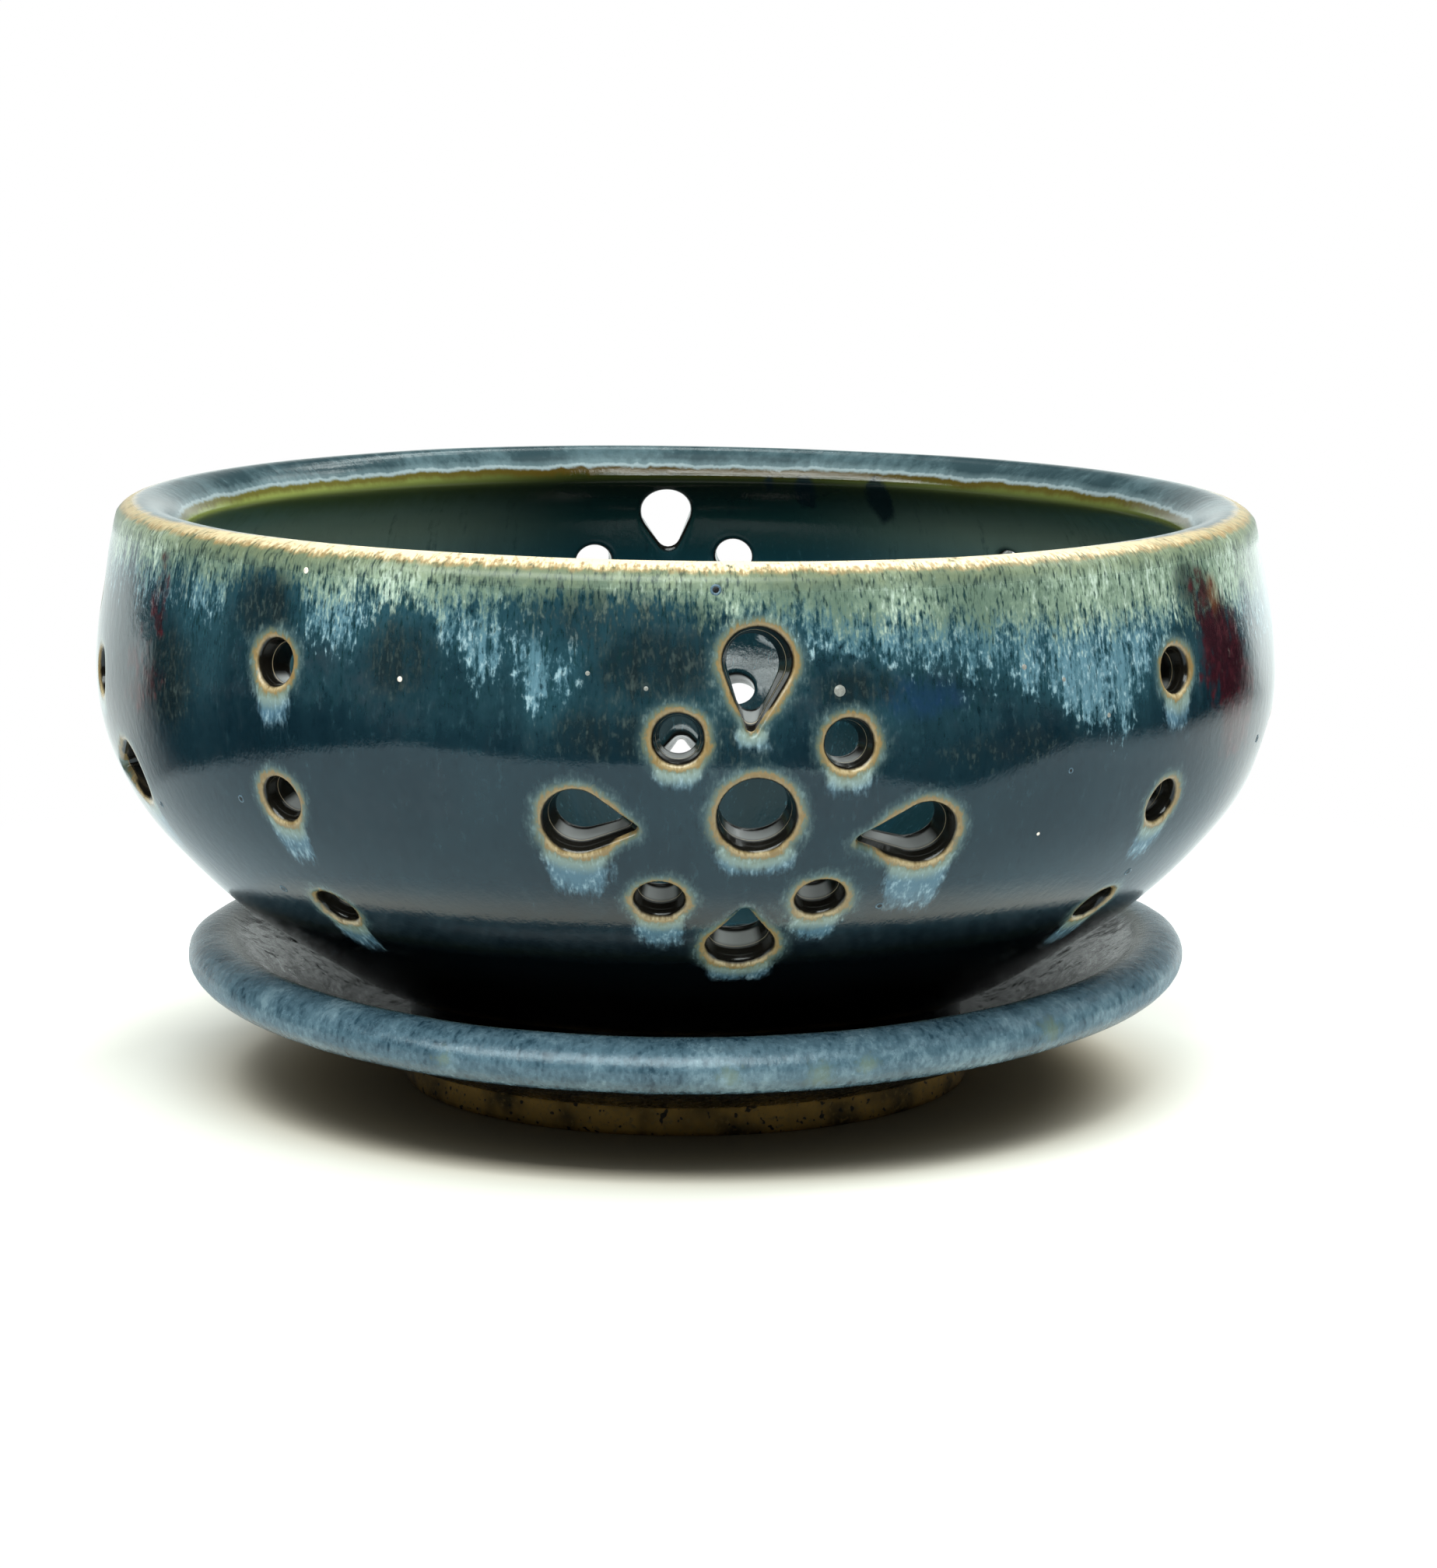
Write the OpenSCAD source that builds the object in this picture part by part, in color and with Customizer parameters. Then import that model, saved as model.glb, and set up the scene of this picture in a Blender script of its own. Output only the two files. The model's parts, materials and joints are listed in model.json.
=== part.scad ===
// A wheel-thrown stoneware berry bowl, pierced so that it drains, standing on its own drip saucer.
// Lengths are in millimetres and angles in degrees. The saucer's foot stands at height zero, up is
// +Z, and the flower that the photograph shows faces -Y.

/* [Bowl] */
// Widest diameter of the bowl
bowl_d = 164; // [152:1:180]
// Height of the bowl by itself, from its foot to the crest of its rim
bowl_h = 73.1; // [67:0.1:80]
// Thickness of the thrown wall
wall_t = 5.6; // [4.8:0.1:6.4]
// Thickness of the bowl's floor
floor_t = 6; // [4.8:0.1:7]
// Width of the turned-in rim, from its outer corner to its inner lip
rim_w = 9.8; // [8.6:0.1:11.2]

/* [Bowl foot] */
// Outside diameter of the bowl's foot ring
foot_d = 78; // [72:1:82]
// Height of the foot ring, up to where the wall starts
foot_h = 3.8; // [3.2:0.1:4.4]
// Width of the foot ring
foot_w = 6; // [5:0.1:8]
// Depth of the hollow turned inside the foot ring
foot_hollow = 2.8; // [2:0.1:3.4]

/* [Piercing] */
// Turn of the whole pattern away from the front
pattern_turn = 6.3; // [0:0.1:90]
// Height of the flowers' round eye above the bowl's foot
eye_h = 42; // [39:0.1:44]
// Diameter of the eye
eye_d = 9.8; // [7:0.1:12]
// Distance along the wall from the eye to the round end of a petal
petal_reach = 22; // [20:0.1:23]
// Width of a petal's round end
petal_w = 8.5; // [7:0.1:9.5]
// Distance along the wall from the eye to the small holes between the petals
bud_reach = 16; // [15:0.1:17]
// Diameter of the small holes between the petals
bud_d = 6.2; // [5:0.1:7]
// Distance along the wall between the dots of an upright row
dot_pitch = 18.2; // [16:0.1:19]
// Diameter of a dot
dot_d = 5.9; // [4.5:0.1:7]

/* [Floor drain] */
// Number of drain holes around the middle one
drain_count = 6; // [4:1:8]
// Diameter of the ring that they lie on
drain_ring_d = 36; // [30:1:44]
// Diameter of a drain hole
drain_d = 6.2; // [5:0.1:7]

/* [Saucer] */
// Outside diameter of the saucer
saucer_d = 140; // [132:1:152]
// Height of the saucer's lip above the table
saucer_h = 20.5; // [18.5:0.1:23]
// Width of the rolled lip
lip_w = 8.8; // [7.5:0.1:10]
// Height of the rolled lip
lip_t = 7; // [6:0.1:8]
// Thickness of the saucer's floor
saucer_floor_t = 6; // [5:0.1:7]
// Room around the bowl's foot in the flat of the well
well_play = 2; // [1:0.1:3]

/* [Saucer foot] */
// Outside diameter of the saucer's foot ring
saucer_foot_d = 80; // [70:1:84]
// Height of the foot ring, up to where the underside starts
saucer_foot_h = 4.2; // [3.6:0.1:4.8]
// Width of the foot ring
saucer_foot_w = 5.5; // [4.5:0.1:8]
// Depth of the hollow turned inside the foot ring
saucer_hollow = 2.6; // [1.8:0.1:3.2]

/* [Hidden] */
// Sides of a full turn
$fn = 96;
// How far a cut runs past the faces that it opens
overrun = 2;
// Ease on the edges of both foot rings
foot_ease = 0.8;
// Straight pieces between two points of a curved outline
curve_steps = 2;
// Angles between the points of the rolled lip
lip_step = 30;
// Where the rolled lip leaves the well and where it meets the underside, as angles around it
lip_from = 140;
lip_to = -130;

bowl_r = bowl_d / 2;
foot_r = foot_d / 2;
saucer_r = saucer_d / 2;
saucer_foot_r = saucer_foot_d / 2;
well_r = foot_r + well_play;
// Height of the flat of the well, where the bowl's foot rests
seat_z = saucer_hollow + saucer_floor_t;
// Height of the bowl's floor above the bowl's own foot
floor_z = foot_hollow + floor_t;

// Crest of the rim above its outer corner, of the rim's width
crest_share = 0.306;
corner_h = bowl_h - rim_w * crest_share;

// Outside of the wall from above the foot to the rim's outer corner: radius of the widest
// radius, height of the corner's height
wall_shares = [
    [0.560, 0.100], [0.635, 0.154], [0.769, 0.260], [0.866, 0.365], [0.939, 0.471],
    [0.981, 0.578], [0.999, 0.683], [0.996, 0.789], [0.982, 0.894], [0.9645, 1]
];
// The rim from its outer corner over the crest and back under its lip, of the rim's width:
// inwards from the corner, upwards from the corner
rim_shares = [
    [0.065, 0.163], [0.215, 0.27], [0.434, 0.306], [0.653, 0.24], [0.837, 0.112],
    [0.954, -0.036], [1, -0.153], [0.929, -0.281], [0.755, -0.469], [0.561, -0.724],
    [0.423, -1.061]
];
// The wall's knots whose inside follows the outside at the wall's thickness
inner_from = 1;
inner_to = 8;
// The flat of the bowl's floor, of the foot's radius, and the knot where it starts to rise
floor_flat_share = 0.76;
floor_turn_share = 0.96;
floor_lift_share = 0.12;

// Inside of the saucer from the well to the lip, of the span from the well's edge to the middle
// of the lip: outwards, upwards
well_shares = [[0.142, 0.107], [0.366, 0.5], [0.61, 0.93]];
// Underside of the saucer, of the span from the foot to the middle of the lip
under_shares = [[0.64, 0.484], [0.338, 0.234], [0.113, 0.055]];

// The round ends and the tips of a flower's petals, of the petals' reach: around, upwards.
// They are top, right, bottom and left, uneven as the potter cut them.
petal_round_shares = [[0, 0.89], [0.995, -0.15], [-0.03, -1.02], [-1.025, -0.045]];
petal_tip_shares = [[-0.045, 0.455], [0.555, -0.18], [-0.025, -0.65], [-0.65, -0.09]];
// The small holes between them, of their own reach
bud_shares = [[-0.62, 0.63], [0.72, 0.575], [0.55, -0.815], [-0.72, -0.815]];
// How far the back flower's small holes sit off those places, of their reach
bud_shift_shares = [[-0.09, 0.11], [0.03, 0.1], [0, 0], [0, 0]];
// Places of the flowers and of the rows of dots around the wall, of a full turn
flower_turn_shares = [0, 0.25, 0.489, 0.75];
row_turn_shares = [0.124, 0.37, 0.62, 0.872];
// Lift of each whole flower, of the petals' reach: the one at the back sits higher
flower_lift_shares = [0, 0, 0.12, 0];
// How far a flower's petals sit off their usual places, of the petals' reach: around, up.
petal_shift_shares = [[0, 0], [0, 0], [-0.07, -0.24], [0, 0]];
// How much of these two shifts each flower takes: only the one at the back does
flower_shift_shares = [0, 0, 1, 0];
// Heights of a row's dots from the eye and the lift of each whole row, of the dots' pitch
dot_rise_shares = [0.86, -0.125, -1.14];
row_lift_shares = [-0.05, 0, 0, 0.05];
// Depth of the cutter below the outside of the wall, of the wall's thickness
cut_depth_share = 2.3;

// Where a petal's straight flank leaves its round end, of the way round to where it would touch,
// and how far its line is drawn on inside the round end, of the flank's length
petal_flank_share = 0.9;
petal_back_share = 1.12;
// Room from the middle of a top petal's round end to the rim's outer corner, of the petal's width
rim_room_share = 0.6;

glaze_colour = [0.16, 0.25, 0.33];
saucer_colour = [0.38, 0.48, 0.57];

// Smooth curve from b to c, shaped by its neighbours a and d
function curve_point(a, b, c, d, t) =
    (2 * b + (c - a) * t + (2 * a - 5 * b + 4 * c - d) * t * t
     + (3 * b - a - 3 * c + d) * t * t * t) / 2;

// A smooth line through all knots
function curve_line(knots) = [
    for (i = [0 : len(knots) - 2], j = [0 : curve_steps - 1])
        curve_point(knots[max(i - 1, 0)], knots[i], knots[i + 1],
                    knots[min(i + 2, len(knots) - 1)], j / curve_steps),
    knots[len(knots) - 1]
];

// A share pair turned into a point of a span
function span_point(start, size, shares) =
    [start[0] + size[0] * shares[0], start[1] + size[1] * shares[1]];

wall_knots = [
    [foot_r, foot_h],
    for (s = wall_shares) span_point([0, 0], [bowl_r, corner_h], s)
];
corner = wall_knots[len(wall_knots) - 1];
rim_knots = [for (s = rim_shares) span_point(corner, [-rim_w, rim_w], s)];

// Direction into the clay at a knot of the wall
function inward(i) =
    let (run = wall_knots[i + 1] - wall_knots[i - 1])
    [-run[1], run[0]] / norm(run);
inner_knots = [for (i = [inner_to : -1 : inner_from]) wall_knots[i] + inward(i) * wall_t];
floor_knots = [
    [foot_r * floor_turn_share, floor_z + floor_t * floor_lift_share],
    [foot_r * floor_flat_share, floor_z],
    [0, floor_z]
];

wall_line = curve_line(wall_knots);
skin_line = curve_line(concat(wall_knots, rim_knots, inner_knots, floor_knots));

// Length of the wall's outline up to each of its points, for placing the holes
function run_to(i) = i == 0 ? 0 : run_to(i - 1) + norm(wall_line[i] - wall_line[i - 1]);
run_radius = [for (i = [0 : len(wall_line) - 1]) [run_to(i), wall_line[i][0]]];
run_height = [for (i = [0 : len(wall_line) - 1]) [run_to(i), wall_line[i][1]]];
height_run = [for (p = run_height) [p[1], p[0]]];
// The eye lies at its height, or lower where its top petal would come too near the rim
top_petal = (petal_round_shares[0][1] + max(flower_lift_shares)) * petal_reach
    + petal_w * rim_room_share;
eye_run = min(lookup(eye_h, height_run), run_to(len(wall_line) - 1) - top_petal);

// The outline of a foot ring, from the axis in its hollow to its outer top
function foot_line(r, w, h, hollow) = [
    [0, hollow],
    [r - w, hollow],
    [r - w, foot_ease],
    [r - w + foot_ease, 0],
    [r - foot_ease, 0],
    [r, foot_ease],
    [r, h]
];

// Sets what it is given on the outside of the wall, facing outwards
module on_wall(turn, across, rise) {
    run = eye_run + rise;
    r = lookup(run, run_radius);
    z = lookup(run, run_height);
    above = lookup(run + wall_t, run_radius) - lookup(run - wall_t, run_radius);
    climb = lookup(run + wall_t, run_height) - lookup(run - wall_t, run_height);
    lean = atan2(above, climb);
    rotate([0, 0, turn + across / r * 180 / PI])
        translate([0, -r, z])
            rotate([90 + lean, 0, 0])
                children();
}

module round_cut(d) {
    depth = wall_t * cut_depth_share;
    translate([0, 0, -depth])
        cylinder(d = d, h = depth + overrun);
}

// A teardrop with its round end at the origin and its tip to the side of the given way
module petal_cut(way) {
    depth = wall_t * cut_depth_share;
    reach = norm(way);
    r = petal_w / 2;
    open = acos(r / reach) * petal_flank_share;
    flank = [r * cos(open), r * sin(open)] - [reach, 0];
    back = [reach, 0] + flank * petal_back_share;
    translate([0, 0, -depth])
        rotate([0, 0, atan2(way[1], way[0])])
            linear_extrude(depth + overrun) {
                circle(r = r);
                polygon([[reach, 0], back, [back[0], -back[1]]]);
            }
}

module flower_cuts(turn, lift, shift) {
    on_wall(turn, 0, lift)
        round_cut(eye_d);
    for (i = [0 : len(petal_round_shares) - 1]) {
        moved = petal_shift_shares[i] * shift;
        middle = (petal_round_shares[i] + moved) * petal_reach;
        tip = (petal_tip_shares[i] + moved) * petal_reach;
        on_wall(turn, middle[0], middle[1] + lift)
            petal_cut(tip - middle);
    }
    for (i = [0 : len(bud_shares) - 1]) {
        spot = (bud_shares[i] + bud_shift_shares[i] * shift) * bud_reach;
        on_wall(turn, spot[0], spot[1] + lift)
            round_cut(bud_d);
    }
}

module row_cuts(turn, lift) {
    for (s = dot_rise_shares)
        on_wall(turn, 0, (s + lift) * dot_pitch)
            round_cut(dot_d);
}

module drain_cuts() {
    for (i = [0 : drain_count - 1])
        rotate([0, 0, i * 360 / drain_count])
            translate([drain_ring_d / 2, 0, foot_hollow - overrun])
                cylinder(d = drain_d, h = floor_t + overrun * 2);
    translate([0, 0, foot_hollow - overrun])
        cylinder(d = drain_d, h = floor_t + overrun * 2);
}

module colander_bowl() {
    color(glaze_colour)
        translate([0, 0, seat_z])
            difference() {
                rotate_extrude()
                    polygon(concat(foot_line(foot_r, foot_w, foot_h, foot_hollow),
                                   [for (i = [1 : len(skin_line) - 1]) skin_line[i]]));
                for (i = [0 : len(flower_turn_shares) - 1])
                    flower_cuts(pattern_turn + flower_turn_shares[i] * 360,
                                flower_lift_shares[i] * petal_reach, flower_shift_shares[i]);
                for (i = [0 : len(row_turn_shares) - 1])
                    row_cuts(pattern_turn + row_turn_shares[i] * 360, row_lift_shares[i]);
                drain_cuts();
            }
}

lip_middle = [saucer_r - lip_w / 2, saucer_h - lip_t / 2];
lip_knots = [
    for (a = [lip_from : -lip_step : lip_to])
        lip_middle + [cos(a) * lip_w / 2, sin(a) * lip_t / 2]
];
well_edge = [well_r, seat_z];
foot_top = [saucer_foot_r, saucer_foot_h];
well_knots = [for (s = well_shares) span_point(well_edge, lip_middle - well_edge, s)];
under_knots = [for (s = under_shares) span_point(foot_top, lip_middle - foot_top, s)];
saucer_line = curve_line(concat([well_edge], well_knots, lip_knots, under_knots, [foot_top]));
saucer_foot_line =
    foot_line(saucer_foot_r, saucer_foot_w, saucer_foot_h, saucer_hollow);

module drip_saucer() {
    color(saucer_colour)
        rotate_extrude()
            polygon(concat(saucer_foot_line,
                           [for (i = [len(saucer_line) - 2 : -1 : 0]) saucer_line[i]],
                           [[0, seat_z]]));
}

colander_bowl();
drip_saucer();
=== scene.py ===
import json
import math

import bpy
import numpy as np
from bpy.props import FloatProperty, FloatVectorProperty, IntProperty, PointerProperty
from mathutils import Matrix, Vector
from mathutils.geometry import delaunay_2d_cdt


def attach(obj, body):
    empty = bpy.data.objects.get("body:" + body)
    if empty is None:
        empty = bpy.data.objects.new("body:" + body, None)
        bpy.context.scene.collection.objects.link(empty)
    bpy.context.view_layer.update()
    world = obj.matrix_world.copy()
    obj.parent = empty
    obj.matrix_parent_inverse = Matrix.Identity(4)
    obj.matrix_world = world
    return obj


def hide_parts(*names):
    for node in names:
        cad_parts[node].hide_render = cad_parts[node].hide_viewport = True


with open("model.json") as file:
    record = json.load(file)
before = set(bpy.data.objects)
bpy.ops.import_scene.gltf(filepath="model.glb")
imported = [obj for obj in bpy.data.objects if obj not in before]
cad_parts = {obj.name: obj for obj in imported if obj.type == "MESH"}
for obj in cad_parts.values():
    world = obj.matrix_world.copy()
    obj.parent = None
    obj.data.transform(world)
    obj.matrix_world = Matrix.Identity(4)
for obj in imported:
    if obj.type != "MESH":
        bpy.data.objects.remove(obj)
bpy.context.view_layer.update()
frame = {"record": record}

bl_info = {
    "name": "Berry colander bowl",
    "version": (1, 0, 0),
    "blender": (4, 5, 0),
    "location": "View3D > Sidebar > Bowl",
    "description": "Thrown and pierced stoneware berry bowl on its drip saucer",
    "category": "Object",
}

MM = 0.001
# Points of the bowl's outline from one of its knots to the next.
STEPS = 24
# What glaze left open of a hole on the inside: of a large and of a small one, and of a petal's
# tip and its reach. A hole is large over this radius in mm.
OPEN_INSIDE, TIP_INSIDE, REACH_INSIDE, LARGE_HOLE = (0.93, 0.82), 0.45, 0.52, 4.5
# Share of the foot's radius where the pierced middle of the floor begins.
FLOOR_SHARE = 0.72
# Rounding of the corners of both foot rings, in mm.
FOOT_EASE = 0.8
# What the glaze is told where no hole is near, in mm from an edge.
NO_HOLE = 40.0
# Radius in mm that the glaze's pattern is laid round, and the radius where it starts to narrow.
PATTERN_RADIUS, NARROWS_FROM = 82.0, 40.0
BODIES = {node: body for body, nodes in frame["record"]["behaviour"]["bodies"].items()
          for node in nodes}

# Outside of the wall from the foot to the rim's corner: share of the radius, of the height.
WALL_SHARES = [
    (0.560, 0.100), (0.635, 0.154), (0.769, 0.260), (0.866, 0.365), (0.939, 0.471),
    (0.981, 0.578), (0.999, 0.683), (0.996, 0.789), (0.982, 0.894), (0.9645, 1.0),
]
# The rim over its crest and under its lip, as shares of the rim's width.
RIM_SHARES = [
    (0.065, 0.163), (0.215, 0.27), (0.434, 0.306), (0.653, 0.24), (0.837, 0.112),
    (0.954, -0.036), (1.0, -0.153), (0.929, -0.281), (0.755, -0.469), (0.561, -0.724),
    (0.423, -1.061),
]
CREST_SHARE = 0.306
WELL_SHARES = [(0.142, 0.107), (0.366, 0.5), (0.61, 0.93)]
UNDER_SHARES = [(0.64, 0.484), (0.338, 0.234), (0.113, 0.055)]
# Round ends and tips of a flower's petals (top, right, bottom, left), then how far the glaze ran.
PETALS = [
    ((0.0, 0.89), (-0.045, 0.455), 2.5),
    ((0.995, -0.15), (0.555, -0.18), 11.0),
    ((-0.03, -1.02), (-0.025, -0.65), 5.5),
    ((-1.025, -0.045), (-0.65, -0.09), 9.0),
]
# The small holes between them, how far the glaze ran, and how far the back flower's sit off.
BUDS = [
    ((-0.62, 0.63), 4.0, (-0.09, 0.11)), ((0.72, 0.575), 4.0, (0.03, 0.1)),
    ((0.55, -0.815), 6.5, (0.0, 0.0)), ((-0.72, -0.815), 8.0, (0.0, 0.0)),
]
DOTS = [(0.86, 6.5), (-0.125, 8.5), (-1.14, 8.5)]
FLOWER_TURNS = [(0.0, 0.0, 0.0), (0.25, 0.0, 0.0), (0.489, 0.12, 1.0), (0.75, 0.0, 0.0)]
# How far the back flower's bottom petal sits off its usual place.
BOTTOM_SHIFT = (-0.07, -0.24)
ROW_TURNS = [(0.124, -0.05), (0.37, 0.0), (0.62, 0.0), (0.872, 0.05)]
# The wall is cut open for its flat layout at this angle, which no hole comes near.
LAYOUT_START = -117.0

# How low the pale rutile glaze ran, as angle and height in mm, given all the way round.
PALE_EDGE = [
    (-117, 66), (-100, 69), (-84, 71), (-70, 72), (-60, 71), (-52, 69), (-46, 73), (-41, 76),
    (-37, 71), (-31, 68), (-27, 74), (-23, 72), (-19, 67), (-15, 68), (-12.5, 60), (-9, 67),
    (-6, 72), (-1, 74), (4, 75), (9, 70), (14, 69), (20, 68), (26, 66), (32, 64.5), (38, 60),
    (43, 58), (48, 66), (54, 73), (60, 73), (68, 67), (80, 64), (90, 69), (101, 70), (112, 63),
    (124, 59), (135, 68), (146, 70), (158, 62), (170, 66), (182, 71), (195, 66), (206, 60),
    (218, 66), (230, 70), (243, 66),
]
# Where the glaze broke otherwise: angle, height, half width in degrees, half height in mm, and
# how strongly.
INK = [
    (-42, 74.0, 5.0, 6.0, 1.0), (-26, 69, 4.2, 6.0, 0.95), (-3, 69.5, 6.5, 6.0, 1.0),
    (-55, 73.0, 2.2, 7.0, 0.4), (-7, 75.0, 10.0, 5.0, 0.7), (-56, 63.0, 7.0, 8.0, 1.0),
    (-6, 61, 8.0, 4.0, 0.8), (15, 66.5, 4.6, 3.2, 1.0), (3, 60, 5.0, 4.0, 0.7),
    (30, 58, 9.0, 3.5, 0.6), (54.5, 76.0, 3.0, 4.0, 0.9), (96, 62, 15.0, 5.0, 0.8),
    (135, 74, 5.0, 3.5, 0.9), (182, 61, 14.0, 5.0, 0.8), (232, 72, 4.0, 4.0, 0.9),
]
PLUM = [
    (57.4, 72.5, 2.6, 5.0, 0.8), (60.2, 66.5, 5.2, 7.5, 1.0), (63.4, 59.0, 5.0, 8.5, 1.0),
    (-59, 72.0, 2.4, 8.0, 0.5), (-61, 62, 5.0, 6.5, 0.45), (150, 70, 5.0, 8.0, 0.9),
    (216, 69, 4.0, 7.0, 0.7), (-100, 68, 5.0, 7.5, 0.8),
]
COBALT = [
    (21, 65, 5.5, 3.6, 0.7), (116, 64, 6.0, 4.0, 0.7), (200, 64, 6.0, 4.0, 0.6),
]
RUST = [
    (59.5, 74.0, 1.7, 3.8, 0.75), (150, 75, 2.0, 3.0, 0.6),
]
# Dark runs inside the rim.
RUNS = [(164.8, 75.4, 1.7, 3.4, 1.0), (155.3, 74.6, 1.9, 4.8, 1.0), (169.5, 76.6, 1.0, 1.8, 0.8)]
# Kiln marks on the outside: angle, height, radius in mm, and kind (0 white speck, 1 pit, 2 blob).
KILN_MARKS = [
    (2.7, 80.3, 0.55, 1), (-37.1, 79.3, 0.42, 0), (-25.8, 66.5, 0.36, 0), (-3.4, 66.7, 0.30, 2),
    (13.5, 66.3, 0.75, 2), (-45.3, 48.5, 0.42, 1), (-46.5, 35.5, 0.50, 1), (19.3, 37.5, 0.45, 1),
    (52.1, 37.2, 0.50, 1),
    (31.5, 68.0, 0.38, 2), (35.8, 66.0, 0.30, 2), (41.0, 60.8, 0.32, 2), (36.6, 54.2, 0.30, 1),
    (-8.5, 68.4, 0.30, 2), (34.3, 46.0, 0.26, 0), (72.0, 52.0, 0.45, 1), (118.0, 61.0, 0.40, 2),
    (143.0, 47.0, 0.42, 1), (168.0, 69.0, 0.36, 0), (205.0, 44.0, 0.45, 1), (222.0, 63.0, 0.4, 2),
    (-104.0, 54.0, 0.42, 1), (-94.0, 73.0, 0.34, 0), (-63.0, 44.0, 0.36, 1),
]


def paint(code):
    """A colour written as an sRGB hex code, in linear light."""
    parts = [int(code[i:i + 2], 16) / 255.0 for i in (1, 3, 5)]
    return tuple(p / 12.92 if p <= 0.04045 else ((p + 0.055) / 1.055) ** 2.4 for p in parts)


def length_prop(name, description, default, least):
    """A length that the panel shows."""
    return FloatProperty(name=name, description=description, default=default, min=least,
                         unit="LENGTH")


def colour_prop(name, description, code):
    """A colour that the panel shows."""
    return FloatVectorProperty(name=name, description=description, size=3, subtype="COLOR",
                               default=paint(code), min=0, max=1)


def add(tree, kind, wires=None, **settings):
    """Add a node with its settings, and wire or fill its inputs."""
    made = tree.nodes.new(kind)
    for key, value in settings.items():
        setattr(made, key, value)
    for key, value in (wires or {}).items():
        if isinstance(value, bpy.types.NodeSocket):
            tree.links.new(value, made.inputs[key])
        else:
            made.inputs[key].default_value = value
    return made


class ThrowingSizes(bpy.types.PropertyGroup):
    """Sizes of the thrown bowl and its saucer"""
    bowl_width: length_prop("Bowl width", "Widest diameter of the bowl", 0.164, 0.1)
    bowl_height: length_prop("Bowl height", "Foot to crest of the rim", 0.0731, 0.05)
    wall: length_prop("Wall", "Thickness of the thrown wall", 0.0056, 0.003)
    floor: length_prop("Floor", "Thickness of the bowl's floor", 0.006, 0.003)
    rim_width: length_prop("Rim width", "Outer corner to inner lip", 0.0098, 0.006)
    foot_width: length_prop("Foot width", "Diameter of the bowl's foot ring", 0.078, 0.04)
    foot_height: length_prop("Foot height", "Height of the bowl's foot ring", 0.0038, 0.001)
    foot_ring: length_prop("Foot ring", "Width of the ring of clay", 0.006, 0.002)
    foot_hollow: length_prop("Foot hollow", "Depth turned out of the foot", 0.0028, 0.0)
    rim_tilt: FloatProperty(name="Rim tilt", description="Lean of the rim towards +X",
                            default=0.0089, unit="ROTATION")
    saucer_width: length_prop("Saucer width", "Diameter of the saucer", 0.140, 0.08)
    saucer_height: length_prop("Saucer height", "Table to the lip's crest", 0.0205, 0.01)
    lip_width: length_prop("Lip width", "Width of the rolled lip", 0.0088, 0.003)
    lip_height: length_prop("Lip height", "Height of the rolled lip", 0.007, 0.003)
    saucer_floor: length_prop("Saucer floor", "Thickness of its floor", 0.006, 0.003)
    saucer_hollow: length_prop("Saucer hollow", "Depth inside its foot ring", 0.0026, 0.0)
    saucer_foot: length_prop("Saucer foot", "Diameter of its foot ring", 0.080, 0.04)
    saucer_foot_height: length_prop("Saucer foot height", "Bare clay band", 0.0042, 0.001)
    saucer_foot_ring: length_prop("Saucer foot ring", "Width of its ring", 0.0055, 0.002)
    well_play: length_prop("Well play", "Room around the bowl's foot", 0.002, 0.0)
    saucer_warp: FloatProperty(name="Saucer warp", description="Lift of the lip at the sides",
                               default=0.0013, unit="LENGTH")


class PiercingSizes(bpy.types.PropertyGroup):
    """Sizes of the holes and of their softened edges"""
    turn: FloatProperty(name="Pattern turn", description="Front flower, from the front",
                        default=math.radians(6.3), unit="ROTATION")
    eye_height: length_prop("Eye height", "Flower's eye above the bowl's foot", 0.042, 0.02)
    eye: length_prop("Eye", "Diameter of the flower's eye", 0.0098, 0.004)
    petal_reach: length_prop("Petal reach", "Eye to a petal's round end", 0.022, 0.01)
    petal: length_prop("Petal", "Width of a petal's round end", 0.0085, 0.004)
    bud_reach: length_prop("Bud reach", "Eye to the small holes", 0.016, 0.01)
    bud: length_prop("Bud", "Diameter of the small holes", 0.0062, 0.003)
    dot_pitch: length_prop("Dot pitch", "Distance between a row's dots", 0.0182, 0.01)
    dot: length_prop("Dot", "Diameter of a row's dots", 0.0059, 0.003)
    drain: length_prop("Drain", "Diameter of a hole in the floor", 0.0062, 0.003)
    drain_ring: length_prop("Drain ring", "Diameter of the ring of drains", 0.036, 0.02)
    drains: IntProperty(name="Drains", description="Drain holes around the middle one",
                        default=6, min=3, max=9)
    edge: length_prop("Edge", "Rounding of a hole's edge", 0.0009, 0.0004)
    tip: length_prop("Tip", "Rounding of a petal's tip", 0.0006, 0.0002)


class GlazeColours(bpy.types.PropertyGroup):
    """Colours of the glaze and of the bare clay"""
    deep: colour_prop("Deep", "Thick dark glaze", "#0B2027")
    teal: colour_prop("Teal", "Thinner dark glaze", "#203C44")
    pale: colour_prop("Pale", "Floated rutile blue", "#90ADB2")
    sage: colour_prop("Sage", "Green where the glaze thins", "#8DA38B")
    cream: colour_prop("Cream", "Broken edges", "#BBB08A")
    tan: colour_prop("Tan", "Outer side of a broken edge", "#7A643A")
    clay: colour_prop("Clay", "Bare fired clay", "#9A7936")


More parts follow.
